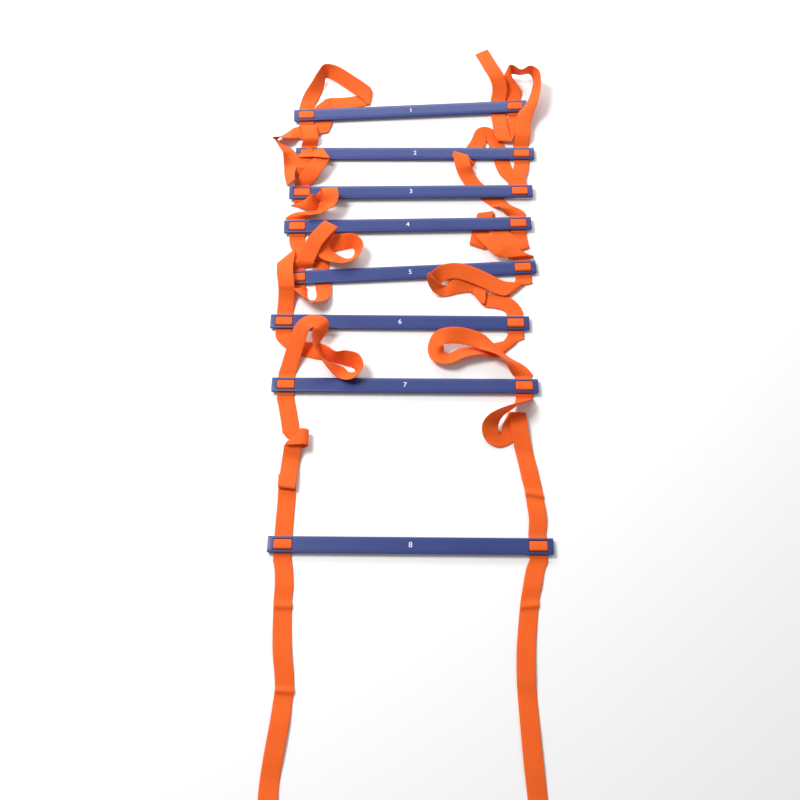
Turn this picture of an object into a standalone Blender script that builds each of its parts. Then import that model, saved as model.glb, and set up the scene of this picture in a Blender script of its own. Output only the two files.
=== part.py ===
"""Agility ladder: eight flat moulded rungs on two long webbing straps, lying half unfolded on the floor.

The far rungs still stand close together with their slack webbing in loops, and the nearest bay is laid out.
Metres, +Z up, the floor at zero. X runs along the rungs and Y along the ladder, away from the viewer.
Each rung has two slots at either end. A strap comes up through one, over the bar between them and down the
other, so a rung can be slid along its straps.
"""
import math

import bmesh
import bpy
import numpy as np
from mathutils import Matrix, Vector
from mathutils.kdtree import KDTree

# Rung
RUNG_LENGTH = 0.400
RUNG_WIDTH = 0.024
RUNG_THICKNESS = 0.0036
RUNG_EDGE_ROUND = 0.0011
RUNG_CORNER_ROUND = 0.0016
RUNG_END_MARGIN = 0.0080
SLOT_WIDTH = 0.0032
SLOT_END_PLAY = 0.0008
BRIDGE_WIDTH = 0.0108

# Webbing
WEB_WIDTH = 0.025
WEB_THICKNESS = 0.0014
WEB_CLEARANCE = 0.0003
WEB_FOOT_RUN = 0.0045
WEB_EDGE_REACH = 0.0015
WEB_TURN_RUN = 0.0060
SLOT_LEAN = 0.0006
FOLD_RADIUS = 0.0013
LAYER_GAP = 0.0007
LAYER_REACH = 0.0027
FOLD_FREE_LENGTH = 0.0240

# Where the photograph was taken from: its height over the floor, its place over the ladder and its tilt
VIEW_HEIGHT = 1.426
VIEW_SIDE = -0.0155
VIEW_BACK = 0.7187
VIEW_TILT_DEG = 64.3
VIEW_FOCAL_PIXELS = 1058
VIEW_CENTRE_PIXELS = 400

# Spare length that a slot cutter runs past the faces it cuts
CUT_OVERRUN = 0.002

ROUND_SEGMENTS = 2
ROUND_PROFILE_SHARE = 0.5
STEPS_PER_SPAN = 3
RULING_SKEW_LIMIT_SHARE = 0.62
ACROSS_SAMPLES = 7
RUNG_SAMPLES = (120, 9)
SETTLE_ROUNDS = 260
SETTLE_LAST_ROUNDS = 60
SLOPE_LIMIT_SHARE = 0.45
SMOOTH_ANGLE_DEG = 40

RUNG_COLOUR = (0.052, 0.082, 0.300, 1.0)
WEB_COLOUR = (1.000, 0.130, 0.010, 1.0)

# Each rung as it lies: the pixel of its middle in the 800 by 800 photograph, how high its underside lies in
# webbing widths, its turn seen from above and its tilt about its own length, both in degrees
RUNG_PLACES_PIXELS_AND_SHARES = {
    1: (410.9, 110.2, 0.200, 3.1, 0.0),
    2: (415.0, 153.0, 0.132, 0.0, 0.0),
    3: (411.0, 191.3, 0.220, 0.5, 0.0),
    4: (407.8, 224.4, 0.200, 1.0, 0.0),
    5: (410.2, 271.9, 0.132, 3.0, 0.0),
    6: (399.9, 321.7, 0.132, -0.5, 0.0),
    7: (405.0, 385.2, 0.110, -0.4, -4.0),
    8: (410.5, 545.2, 0.090, -0.5, -3.0),
}
# The rung and side where the webbing turns back under the rung instead of leaving past its near edge
TURNED_BACK = (3, 1)

# Routes of the free webbing. Each row is one line across the strap: the pixel of its middle in the
# photograph, its height in webbing widths, the way it points seen from above and its lean, both in degrees.
# A row that ends in FOLD is a crease, where the strap turns over on itself about that line
FOLD = "fold"
FLAT_SHARE = 0.03
LEFT_FAR_TAIL_PIXELS_AND_SHARES = (
    (309, 101.5, 0.10, 0, 0),
    (312, 95.5, 0.22, -12, -18),
    (317, 87, 0.40, -25, -45),
    (321.5, 78, 0.56, -42, -60),
    (325.5, 71.5, 0.62, -88, -64),
    (334, 73, 0.56, -118, -45),
    (346, 80, 0.44, -122, -38),
    (358, 88, 0.32, -122, -28),
    (366, 93.5, 0.22, -112, -15),
    (370.5, 98, 0.14, -99, -8, FOLD),
    (358, 101.5, 0.05, -88, 0),
    (343, 103.5, FLAT_SHARE, -88, 0),
    (333, 104, FLAT_SHARE, -92, 0),
    (322, 104.5, FLAT_SHARE, -135, 0, FOLD),
    (325.5, 112, 0.06, 180, 0),
    (325.5, 120.5, FLAT_SHARE, 178, 0),
    (321.5, 130, FLAT_SHARE, 172, 0),
    (313, 138.5, FLAT_SHARE, -146, 0, FOLD),
    (299, 133.5, 0.07, -94, 3),
    (288, 136, 0.30, -90, 30),
    (275.5, 139, 0.52, -105, 56, FOLD),
    (282.5, 146.5, 0.50, -130, 48),
    (289, 153.5, 0.46, -142, 32),
    (291.5, 160.5, 0.38, -172, 5),
    (290.5, 168.5, 0.22, 160, -28),
    (290, 176, 0.34, 165, -46),
    (291, 183, 0.38, 170, -54),
)
LEFT_1_TO_2_PIXELS_AND_SHARES = (
    (308.5, 127.5, 0.27, 1, 0),
    (310, 132.5, 0.42, 2, 0),
    (311, 139.5, 0.38, 2, 0),
)
LEFT_2_TO_3_PIXELS_AND_SHARES = (
    (307, 167, 0.04, 0, 0),
    (306, 173, 0.05, 0, 0),
    (305, 177, 0.08, 0, 0, FOLD),
    (304.5, 170, 0.34, 0, 0),
    (304.5, 160, 0.52, 0, 0),
    (305, 153, 0.60, 40, 0, FOLD),
    (314.5, 153.5, 0.64, 82, -24),
    (325.5, 153.5, 0.70, 119, -10, FOLD),
    (320, 162, 0.62, 151, 3),
    (312.5, 173, 0.46, 154, 3),
    (306, 180.5, 0.22, 166, 0),
)
LEFT_3_TO_4_PIXELS_AND_SHARES = (
    (302.5, 203.5, 0.06, 12, 15),
    (308, 205.5, 0.22, 60, 55),
    (316, 204.5, 0.34, 105, 55),
    (323, 200, 0.42, 140, 30),
    (327.5, 193.5, 0.56, 170, 5),
    (329, 189, 0.84, 182, 0),
    (330, 191.5, 1.02, 184, 0),
    (331, 198, 0.90, 176, -5),
    (327.5, 206, 0.56, 150, -20),
    (318, 211.5, 0.30, 122, -35),
    (307, 215, 0.20, 132, -35),
)
LEFT_4_TO_5_PIXELS_AND_SHARES = (
    (298.5, 245, 0.05, 14, 0),
    (303.5, 249, 0.05, 42, 0),
    (311, 250, 0.05, 74, 0),
    (321, 247, 0.07, 92, 2),
    (333, 244, 0.22, 95, 20),
    (345, 241.5, 0.40, 90, 42),
    (354, 241.5, 0.46, 70, 56),
    (359, 248, 0.46, 12, 56),
    (354.5, 258, 0.40, -60, 52),
    (346, 261, 0.36, -90, 42),
    (336, 259, 0.32, -98, 28),
    (326, 254, 0.36, -120, 6),
    (322, 246, 0.52, -165, 0),
    (325, 234, 0.72, -200, 0),
    (331, 225, 0.98, -212, 0, FOLD),
    (316, 240, 0.92, -206, 5),
    (309.5, 253, 0.62, -197, 3),
    (304.5, 262, 0.40, -188, 0),
)
LEFT_5_TO_6_PIXELS_AND_SHARES = (
    (299.5, 290.5, 0.16, 8, -28),
    (303, 296, 0.36, 30, -58),
    (308, 299.8, 0.46, 48, -66),
    (314, 301, 0.42, 82, -52),
    (320.5, 297.5, 0.30, 122, -30),
    (323.5, 290.5, 0.12, 158, -5),
    (322.5, 281, FLAT_SHARE, 178, 0),
    (321, 272, FLAT_SHARE, 180, 0),
    (321, 262, 0.08, 178, 0),
    (320.5, 253.5, 0.16, 137, 0, FOLD),
    (309, 254, 0.24, 91, 0),
    (298, 255.5, 0.20, 90, 0),
    (287, 257.5, 0.20, 45, 0, FOLD),
    (285.3, 266, 0.50, 0, 0),
    (285.3, 274, 0.60, 0, 0),
    (286.3, 283, 0.50, -1, 0),
    (287, 292, 0.26, 0, 0),
    (286.5, 301, 0.09, 0, 0),
)
LEFT_6_TO_7_PIXELS_AND_SHARES = (
    (285.5, 337, 0.05, 8, 0),
    (292, 343, 0.05, 35, 0),
    (301, 348, 0.06, 62, 0),
    (312, 350, 0.12, 78, 10),
    (324, 353, 0.38, 70, 50),
    (335, 357, 0.50, 60, 72),
    (346, 358, 0.48, 85, 50),
    (356, 361, 0.46, 60, 50),
    (359, 369, 0.48, 0, 60),
    (351, 375, 0.34, -60, 40),
    (340, 372, 0.20, -100, 20),
    (329, 365, 0.42, -120, 50),
    (320, 357, 0.54, -150, 76),
    (316, 348, 0.58, -180, 74),
    (317, 339, 0.66, -180, 60),
    (321, 331, 0.80, -170, 40),
    (321, 325, 0.98, -145, 10),
    (313, 322, 1.06, -100, 6),
    (305, 325, 0.98, -58, 6),
    (300, 333, 0.78, -30, 4),
    (296, 345, 0.50, -15, 2),
    (292, 358, 0.26, -13, 0),
    (289, 368, 0.10, -8, 0),
)
LEFT_7_TO_8_PIXELS_AND_SHARES = (
    (287.3, 407, FLAT_SHARE, 6, 0),
    (289.5, 420, FLAT_SHARE, 7, 0),
    (291, 431, FLAT_SHARE, 5, 0),
    (291.5, 440, FLAT_SHARE, -42, 0, FOLD),
    (298, 440.3, 0.06, -90, 0),
    (303.5, 440, 0.08, -90, 0),
    (307.2, 439, 0.21, -90, 0),
    (308.2, 438, 0.36, -90, 0),
    (307.2, 437, 0.51, -90, 0),
    (303.5, 436.2, 0.63, -90, 0),
    (299, 436.4, 0.60, -92, 0),
    (293.5, 437.2, 0.50, -139, 0, FOLD),
    (292.7, 446.5, 0.36, 174, 0),
    (291.2, 457, 0.14, 171, 0),
    (289.9, 466, 0.14, 171, 0),
    (288.6, 474.5, 0.24, 171, 0),
    (286.6, 486.5, 0.30, 172, 0, FOLD),
    (287.4, 475.5, 0.15, 175, 0, FOLD),
    (287.2, 487, 0.05, 178, 0),
    (286.6, 499, FLAT_SHARE, 178, 0),
    (285, 518, FLAT_SHARE, 179, 0),
)
LEFT_NEAR_TAIL_PIXELS_AND_SHARES = (
    (283.8, 570, FLAT_SHARE, 0, 0),
    (284.0, 586, 0.06, 0, 0),
    (282.9, 601, FLAT_SHARE, -2, 0),
    (282.8, 606, 0.12, -2, 0),
    (282.6, 611, FLAT_SHARE, 0, 0),
    (282.0, 648, 0.09, 0, 0),
    (284.2, 676, 0.05, 2, 0),
    (284.6, 686, FLAT_SHARE, 0, 0),
    (284.4, 691, 0.12, -3, 0),
    (283.6, 696, FLAT_SHARE, -6, 0),
    (280.0, 720, 0.11, -10, 0),
    (274.0, 753, 0.12, -11, 0),
    (269.3, 783, FLAT_SHARE, -6, 0),
    (267.6, 803, 0.09, -3, 0),
    (266.5, 836, FLAT_SHARE, 0, 0),
)

RIGHT_FAR_TAIL_PIXELS_AND_SHARES = (
    (514.5, 121, 0.05, 0, 0),
    (510, 130, 0.10, -6, 0),
    (506, 138, 0.13, -6, 0),
    (504.5, 142, 0.14, -6, 0, FOLD),
    (502, 135, 0.29, -6, 0),
    (500, 125, 0.24, -8, 0),
    (498.5, 114, 0.05, -4, 0),
    (498, 102, 0.04, 0, 0),
    (499.5, 93, 0.30, 3, 0),
    (499, 84, 0.62, 8, 0),
    (496, 76, 0.88, 14, 0),
    (491, 68, 0.98, 20, 0),
    (486, 59.5, 0.98, 26, 0),
    (481.5, 52.3, 0.92, 29, 0),
)
RIGHT_1_TO_2_PIXELS_AND_SHARES = (
    (513.5, 93, 0.10, 0, 5),
    (509.5, 86, 0.26, 0, 18),
    (505.5, 79, 0.50, 5, 42),
    (506, 72.5, 0.76, 20, 74),
    (512.5, 70, 0.86, 75, 96),
    (520.5, 73, 0.86, 88, 112),
    (529.5, 71, 0.84, 75, 100),
    (535.5, 77, 0.80, 15, 74),
    (536, 87, 0.66, 0, 60),
    (534, 98, 0.52, 0, 50),
    (530, 108, 0.40, 0, 36),
    (525, 117, 0.32, 0, 10),
    (522.5, 127, 0.28, 0, 0),
    (523, 136.5, 0.26, 0, 0),
)
RIGHT_2_TO_3_PIXELS_AND_SHARES = (
    (520.5, 170, 0.12, 2, 0),
    (518.5, 177, 0.13, 2, 0),
)
RIGHT_3_TO_4_PIXELS_AND_SHARES = (
    (515, 181, FLAT_SHARE, 12, 0),
    (506.5, 172, FLAT_SHARE, 16, 0),
    (502, 162.5, FLAT_SHARE, 10, 0),
    (500, 153, FLAT_SHARE, 8, 0),
    (496.5, 145.5, FLAT_SHARE, 14, 0),
    (493.5, 139.5, 0.06, 34, 2),
    (486.5, 134, 0.18, 85, 14),
    (482, 135, 0.22, 125, 15),
    (478, 143, 0.08, 150, 0),
    (472, 152, FLAT_SHARE, 152, 0),
    (467, 161, FLAT_SHARE, 156, 0),
    (465, 165, 0.06, 158, 0, FOLD),
    (462, 159, 0.40, 160, 0),
    (461, 155, 0.46, 160, 0, FOLD),
    (463, 165, 0.50, 170, 0),
    (467, 175, 0.20, 195, 0),
    (475, 186, FLAT_SHARE, 212, 0),
    (486, 195, FLAT_SHARE, 226, 0),
    (496, 201.5, 0.04, 226, 0),
    (505, 207, 0.16, 212, 28),
    (513, 211.5, 0.14, 194, 10),
)
RIGHT_4_TO_5_PIXELS_AND_SHARES = (
    (520.5, 243, FLAT_SHARE, 3, 0),
    (521.5, 250, FLAT_SHARE, 20, 0, FOLD),
    (511, 242, 0.18, 38, 0),
    (498.5, 231.5, 0.11, 38, 0),
    (490, 221, 0.11, 34, 0),
    (485.5, 213, 0.13, 9, 0, FOLD),
    (483, 222, 0.13, -20, 0),
    (479.5, 234, 0.08, -21, 0),
    (477, 246, 0.10, -22, 0, FOLD),
    (480.5, 241, 0.30, -25, 0),
    (483.5, 236, 0.34, 8, 0, FOLD),
    (490.5, 242, 0.48, 42, 0),
    (499.5, 250, 0.42, 42, 0),
    (508.5, 253.5, 0.26, 32, 0),
    (516.5, 258, 0.12, 10, 0),
)
RIGHT_5_TO_6_PIXELS_AND_SHARES = (
    (522.5, 283, FLAT_SHARE, 2, 0),
    (515, 291, 0.04, 42, 0, FOLD),
    (502, 289, 0.18, 66, 5),
    (488, 283, 0.28, 68, 12),
    (471, 276, 0.40, 72, 18),
    (455, 272.5, 0.48, 80, 22),
    (443, 274.5, 0.50, 98, 28),
    (435, 280.5, 0.46, 146, 52),
    (440, 287.5, 0.20, 200, 20),
    (446, 289, 0.12, 250, -10),
    (458, 286.5, 0.16, 268, -24),
    (470, 285, 0.14, 262, -18),
    (479, 287, 0.12, 226, 0),
    (478, 291, 0.18, 180, 0),
    (477.5, 297, 0.18, 124, 0, FOLD),
    (488, 300.5, 0.06, 80, 0),
    (498, 302, 0.05, 66, 5),
    (507, 305, 0.05, 42, 5),
    (512.5, 309.5, FLAT_SHARE, 14, 0),
)
RIGHT_6_TO_7_PIXELS_AND_SHARES = (
    (514.5, 339, FLAT_SHARE, 4, 0),
    (508, 349, 0.04, 42, 0, FOLD),
    (494, 350, 0.20, 86, -5),
    (478, 350.5, 0.32, 92, -34),
    (461, 353.5, 0.34, 94, -26),
    (449, 358.5, 0.32, 86, -24),
    (440, 356.5, 0.34, 62, -8),
    (435.5, 347.5, 0.44, 4, 25),
    (439.5, 338, 0.56, -52, 5),
    (448.5, 335.5, 0.66, -86, -20),
    (459, 335.5, 0.66, -92, -25),
    (469, 337.5, 0.62, -96, -20),
    (479, 341, 0.58, -104, -10),
    (488, 346, 0.54, -114, 20),
    (498, 353, 0.48, -122, 46),
    (508, 360, 0.40, -138, 48),
    (517, 368, 0.22, -160, 20),
)
RIGHT_7_TO_8_PIXELS_AND_SHARES = (
    (523, 402, 0.26, 0, 25),
    (515, 408, 0.50, 0, 68),
    (503, 413, 0.52, 0, 100),
    (494, 419, 0.44, 0, 134),
    (490, 427, 0.26, 0, 162),
    (492, 435, 0.12, 205, 0),
    (499, 439, 0.10, 255, 0),
    (506.5, 436, 0.12, 305, 0),
    (511, 427, 0.16, 340, 0),
    (515, 418, 0.22, 350, 0),
    (517.5, 411.5, 0.28, 356, 0, FOLD),
    (519, 420, 0.40, 357, 0),
    (520.5, 432, 0.32, 355, 0),
    (522.5, 444, 0.16, 352, 0),
    (525, 455, FLAT_SHARE, 349, 0),
    (528, 467, 0.08, 347, 0),
    (530.8, 479, 0.05, 346, 0),
    (533.3, 489, FLAT_SHARE, 349, 0),
    (534.2, 494, 0.13, 350, 0),
    (535, 499, FLAT_SHARE, 352, 0),
    (536.3, 507, 0.08, 354, 0),
    (538, 520, 0.09, 358, 0),
)
RIGHT_NEAR_TAIL_PIXELS_AND_SHARES = (
    (535.5, 570, FLAT_SHARE, 4, 0),
    (532.3, 587, 0.08, 6, 0),
    (530, 601, FLAT_SHARE, 5, 0),
    (529.5, 606, 0.12, 5, 0),
    (529, 611, FLAT_SHARE, 4, 0),
    (526.3, 648, 0.09, 0, 0),
    (526.4, 680, 0.11, -3, 0),
    (527.4, 696, FLAT_SHARE, -3, 0),
    (530.6, 732, 0.10, -6, 0),
    (534.0, 767, 0.11, -8, 0),
    (537.6, 798, FLAT_SHARE, -5, 0),
    (541.0, 836, FLAT_SHARE, -4, 0),
)


def clear_scene():
    """Remove everything that a new file or an earlier run left behind."""
    for item in list(bpy.data.objects):
        bpy.data.objects.remove(item, do_unlink=True)


def make_collection(name):
    """A new collection under the scene's own."""
    collection = bpy.data.collections.new(name)
    bpy.context.scene.collection.children.link(collection)
    return collection


def make_material(name, colour, roughness, metallic):
    """A plain Principled material."""
    material = bpy.data.materials.new(name)
    material.use_nodes = True
    shader = material.node_tree.nodes["Principled BSDF"]
    shader.inputs["Base Color"].default_value = colour
    shader.inputs["Roughness"].default_value = roughness
    shader.inputs["Metallic"].default_value = metallic
    return material


def seen(pixel_x, pixel_y, height):
    """The point at a height over the floor that the photograph shows at a pixel."""
    tilt = math.radians(VIEW_TILT_DEG)
    right = (pixel_x - VIEW_CENTRE_PIXELS) / VIEW_FOCAL_PIXELS
    down = (pixel_y - VIEW_CENTRE_PIXELS) / VIEW_FOCAL_PIXELS
    reach = (VIEW_HEIGHT - height) / (math.sin(tilt) + math.cos(tilt) * down)
    along = reach * (math.cos(tilt) - math.sin(tilt) * down)
    return Vector((VIEW_SIDE + reach * right, along - VIEW_BACK, height))


def direction(heading, lean):
    """A unit vector from its heading seen from above and its lean over the floor, in degrees."""
    turn, rise = math.radians(heading), math.radians(lean)
    return Vector((math.cos(turn) * math.cos(rise), math.sin(turn) * math.cos(rise), math.sin(rise)))


def rung_matrix(number):
    """Where a rung lies: its own X along its length, its own Z up, its origin in its underside."""
    pixel_x, pixel_y, lift_share, turn, tilt = RUNG_PLACES_PIXELS_AND_SHARES[number]
    lift = lift_share * WEB_WIDTH
    place = seen(pixel_x, pixel_y, lift + RUNG_THICKNESS)
    raised = math.sin(math.radians(abs(tilt))) * RUNG_WIDTH / 2
    place.z = lift + raised
    spin = Matrix.Rotation(math.radians(turn), 4, "Z")
    tip = Matrix.Rotation(math.radians(tilt), 4, "X")
    return Matrix.Translation(place) @ spin @ tip


def slot_middle():
    """Distance from a rung's middle to the middle of its slots, along its length."""
    return RUNG_LENGTH / 2 - RUNG_END_MARGIN - slot_length() / 2


def slot_length():
    """A slot takes the webbing's width and a little play."""
    return WEB_WIDTH + 2 * SLOT_END_PLAY


def slot_offset():
    """Distance from a rung's centre line to the middle of either slot."""
    return (BRIDGE_WIDTH + SLOT_WIDTH) / 2


def foot(number, side, end):
    """The floor end of the webbing at a rung: its middle, its outward direction and the line across it."""
    place = rung_matrix(number)
    lined = place.to_3x3() @ Vector((1, 0, 0))
    lined.z = 0
    lined.normalize()
    outward = Vector((-lined.y, lined.x, 0)) * end
    middle = place @ Vector((side * slot_middle(), end * RUNG_WIDTH / 2, 0))
    middle += outward * (WEB_EDGE_REACH + WEB_FOOT_RUN)
    middle.z = WEB_THICKNESS / 2
    if (number, side) == TURNED_BACK and end > 0:
        middle.z += WEB_THICKNESS + LAYER_GAP
    elif (number, side) == TURNED_BACK:
        outward = -outward
        middle = place @ Vector((side * slot_middle(), -slot_offset(), 0)) + outward * WEB_TURN_RUN
        middle.z = WEB_THICKNESS / 2
    return middle, outward, lined


def spline_point(points, index, share):
    """A point between two of a row of vectors, on a curve through them all with chord-root knots."""
    last = len(points) - 1
    p1, p2 = points[index], points[index + 1]
    p0 = points[index - 1] if index else p1 * 2 - p2
    p3 = points[index + 2] if index + 2 <= last else p2 * 2 - p1
    row = (p0, p1, p2, p3)
    knots = [0.0]
    for before, after in zip(row, row[1:]):
        gap = (after.xyz - before.xyz).length
        knots.append(knots[-1] + math.sqrt(max(gap, WEB_CLEARANCE)))
    t = knots[1] + (knots[2] - knots[1]) * share

    def blend(first, second, low, high):
        """Two vectors blended by where t lies between two knots."""
        return (first * (high - t) + second * (t - low)) / (high - low)

    outer = [blend(row[i], row[i + 1], knots[i], knots[i + 1]) for i in range(3)]
    inner = [blend(outer[i], outer[i + 1], knots[i], knots[i + 2]) for i in range(2)]
    return blend(inner[0], inner[1], knots[1], knots[2])


def smooth_row(points, steps):
    """Points of a smooth curve through a row of vectors, a few to each span."""
    row = []
    for index in range(len(points) - 1):
        row += [spline_point(points, index, step / steps) for step in range(steps)]
    return row + [points[-1]]


def rulings(middles, acrosses):
    """Middle and half line of each line across a strap, so long that the strap keeps its width."""
    lines = []
    last = len(middles) - 1
    for index, (middle, across) in enumerate(zip(middles, acrosses)):
        run = (middles[min(index + 1, last)] - middles[max(index - 1, 0)]).normalized()
        across = across.normalized()
        skew = max(run.cross(across).length, RULING_SKEW_LIMIT_SHARE)
        half = across * WEB_WIDTH / (2 * skew)
        lines.append((Vector((middle.x, middle.y, max(middle.z, floor_height(half)))), half))
    return lines


def floor_height(half):
    """The least height of the middle of a line across a strap that keeps the strap over the floor."""
    return abs(half.z) + WEB_THICKNESS / 2


def strap_mesh(name, lines):
    """An open strip of quads from one line across a strap to the next."""
    shape = bmesh.new()
    rows = [[shape.verts.new(middle - half), shape.verts.new(middle + half)] for middle, half in lines]
    for (a, b), (c, d) in zip(rows, rows[1:]):
        shape.faces.new((a, b, d, c))
    mesh = bpy.data.meshes.new(name)
    shape.to_mesh(mesh)
    shape.free()
    return mesh


def add_strap(name, lines, material, collection, parent, even):
    """A webbing strap: the strip along its rulings, given its thickness on both sides."""
    strap = bpy.data.objects.new(name, strap_mesh(name, lines))
    collection.objects.link(strap)
    strap.data.materials.append(material)
    wall = strap.modifiers.new("thickness", "SOLIDIFY")
    wall.thickness = WEB_THICKNESS
    wall.offset = 0
    wall.use_even_offset = even
    keep_place(strap, parent)
    return strap


def keep_place(item, parent):
    """Parent an object to an empty without moving it."""
    item.parent = parent
    item.matrix_parent_inverse = parent.matrix_world.inverted()


def add_carrier(number, collection):
    """The empty at a rung's middle, which all that slides with the rung hangs from."""
    carrier = bpy.data.objects.new(f"carrier_{number}", None)
    collection.objects.link(carrier)
    carrier.matrix_world = rung_matrix(number)
    bpy.context.view_layer.update()
    return carrier


def box_mesh(name, size, middle):
    """A box mesh of a size about a middle."""
    shape = bmesh.new()
    bmesh.ops.create_cube(shape, size=1, matrix=Matrix.Translation(middle) @ Matrix.Diagonal(size).to_4x4())
    mesh = bpy.data.meshes.new(name)
    shape.to_mesh(mesh)
    shape.free()
    return mesh


def rung_mesh():
    """The bar of a rung: a flat box with its upright corners rounded."""
    middle = Vector((0, 0, RUNG_THICKNESS / 2))
    mesh = box_mesh("rung", Vector((RUNG_LENGTH, RUNG_WIDTH, RUNG_THICKNESS)), middle)
    shape = bmesh.new()
    shape.from_mesh(mesh)
    upright = [e for e in shape.edges if abs(e.verts[0].co.z - e.verts[1].co.z) > RUNG_THICKNESS / 2]
    bmesh.ops.bevel(
        shape,
        geom=upright,
        offset=RUNG_CORNER_ROUND,
        segments=ROUND_SEGMENTS,
        profile=ROUND_PROFILE_SHARE,
        affect="EDGES",
    )
    shape.to_mesh(mesh)
    shape.free()
    return mesh


def slot_cutter_mesh():
    """The four slots of a rung as one set of boxes."""
    shape = bmesh.new()
    size = Vector((slot_length(), SLOT_WIDTH, RUNG_THICKNESS + 2 * CUT_OVERRUN))
    for side in (-1, 1):
        for row in (-1, 1):
            middle = Vector((side * slot_middle(), row * slot_offset(), RUNG_THICKNESS / 2))
            bmesh.ops.create_cube(
                shape, size=1, matrix=Matrix.Translation(middle) @ Matrix.Diagonal(size).to_4x4()
            )
    mesh = bpy.data.meshes.new("slots")
    shape.to_mesh(mesh)
    shape.free()
    return mesh


def add_rungs(carriers, material, parts, cutters):
    """Eight like rungs, each on its own carrier and cut by its own set of slots."""
    bar, slots = rung_mesh(), slot_cutter_mesh()
    bar.materials.append(material)
    for number, carrier in carriers.items():
        rung = bpy.data.objects.new(f"rung_{number}", bar)
        parts.objects.link(rung)
        rung.parent = carrier
        cutter = bpy.data.objects.new(f"slot_cutter_{number}", slots)
        cutters.objects.link(cutter)
        cutter.parent = carrier
        cutter.hide_render = True
        cutter.display_type = "WIRE"
        rounding = rung.modifiers.new("edges", "BEVEL")
        rounding.width = RUNG_EDGE_ROUND
        rounding.segments = ROUND_SEGMENTS
        rounding.limit_method = "ANGLE"
        rounding.angle_limit = math.radians(SMOOTH_ANGLE_DEG)
        cut = rung.modifiers.new("slots", "BOOLEAN")
        cut.object = cutter
        cut.operation = "DIFFERENCE"
        cut.solver = "EXACT"


def threaded_lines(number, side):
    """The webbing through a rung's two slots, from floor to floor: under an edge, up, over the bar and down."""
    place = rung_matrix(number)
    half = place.to_3x3() @ Vector((WEB_WIDTH / 2, 0, 0))
    under = -WEB_CLEARANCE - WEB_THICKNESS / 2
    over = RUNG_THICKNESS + WEB_CLEARANCE + WEB_THICKNESS / 2
    way_in = [(RUNG_WIDTH / 2 + WEB_EDGE_REACH, under), (slot_offset() + SLOT_LEAN, under)]
    way_up = [(slot_offset() - SLOT_LEAN, over)]
    way_down = [(-y, z) for y, z in way_up]
    way_out = [(-y, z) for y, z in reversed(way_in)]
    if (number, side) == TURNED_BACK:
        way_out = [(-slot_offset() - SLOT_LEAN / 2, under), (-slot_offset() + SLOT_LEAN, 2 * under)]
    section = way_in + way_up + way_down + way_out
    lines = [(place @ Vector((side * slot_middle(), y, z)), half) for y, z in section]
    if (number, side) == TURNED_BACK:
        lines[-1][0].z = WEB_THICKNESS / 2
    first, last = foot(number, side, 1), foot(number, side, -1)
    start = [(first[0] - first[1] * reach, first[2] * WEB_WIDTH / 2) for reach in (0, WEB_EDGE_REACH)]
    finish = [(last[0] - last[1] * reach, last[2] * WEB_WIDTH / 2) for reach in (WEB_EDGE_REACH, 0)]
    return start + lines + finish


def fold_rows(before, middle, after, across):
    """The bend of a crease: three lines about a small cylinder that lies along it."""
    across = across.normalized()
    out = middle - before
    out = (out - across * out.dot(across)).normalized()
    up = after - middle
    up = (up - across * up.dot(across) - out * up.dot(out)).normalized()
    return [middle, middle + (out + up) * FOLD_RADIUS, middle + up * 2 * FOLD_RADIUS]


def route_lines(start, route, finish):
    """The lines across a free stretch of webbing between two feet, either of which may be missing."""
    middles, acrosses, creased = [], [], []
    if start:
        middle, outward, lined = start
        middles += [middle + outward * WEB_CLEARANCE, middle + outward * WEB_EDGE_REACH]
        acrosses += [lined, lined]
        creased += [False, False]
    for pixel_x, pixel_y, lift_share, heading, lean, *mark in route:
        middles.append(seen(pixel_x, pixel_y, lift_share * WEB_WIDTH))
        acrosses.append(direction(heading, lean))
        creased.append(FOLD in mark)
    if finish:
        middle, outward, lined = finish
        if acrosses[-1].dot(lined) < 0:
            lined = -lined
        middles += [middle + outward * WEB_EDGE_REACH, middle + outward * WEB_CLEARANCE]
        acrosses += [lined, lined]
        creased += [False, False]
    bent_middles, bent_acrosses = [], []
    for index, (middle, across) in enumerate(zip(middles, acrosses)):
        row = [middle]
        if creased[index]:
            row = fold_rows(middles[index - 1], middle, middles[index + 1], across)
        bent_middles += row
        bent_acrosses += [across] * len(row)
    return rulings(smooth_row(bent_middles, STEPS_PER_SPAN), smooth_row(bent_acrosses, STEPS_PER_SPAN))


def layer_samples(lines):
    """Points over a strap: place, line it belongs to, rise over the middle of its line, slope and steepness."""
    samples = []
    last = len(lines) - 1
    for index, (middle, half) in enumerate(lines):
        before, after = lines[max(index - 1, 0)][0], lines[min(index + 1, last)][0]
        normal = (after - before).cross(half).normalized()
        rise = math.copysign(max(abs(normal.z), SLOPE_LIMIT_SHARE), normal.z or 1)
        slope = (-normal.x / rise, -normal.y / rise)
        for step in range(ACROSS_SAMPLES):
            share = 2 * step / (ACROSS_SAMPLES - 1) - 1
            samples.append((middle + half * share, index, half.z * share, slope, abs(rise)))
    return samples


def rung_samples(place):
    """Points over both faces of a rung, in the form of the points over a strap."""
    samples = []
    along, across = RUNG_SAMPLES
    level = place.translation.z + RUNG_THICKNESS / 2
    for step_x in range(along):
        for step_y in range(across):
            for face in (0, RUNG_THICKNESS):
                x, y = (step_x / (along - 1) - 0.5) * RUNG_LENGTH, (step_y / (across - 1) - 0.5) * RUNG_WIDTH
                point = place @ Vector((x, y, face))
                samples.append((point, 0, point.z - level, (0, 0), 1))
    return samples


def reach_along(lines):
    """Distance along a strap to each of its lines."""
    row = [0.0]
    for (before, _), (after, _) in zip(lines, lines[1:]):
        row.append(row[-1] + (after - before).length)
    return row


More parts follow.
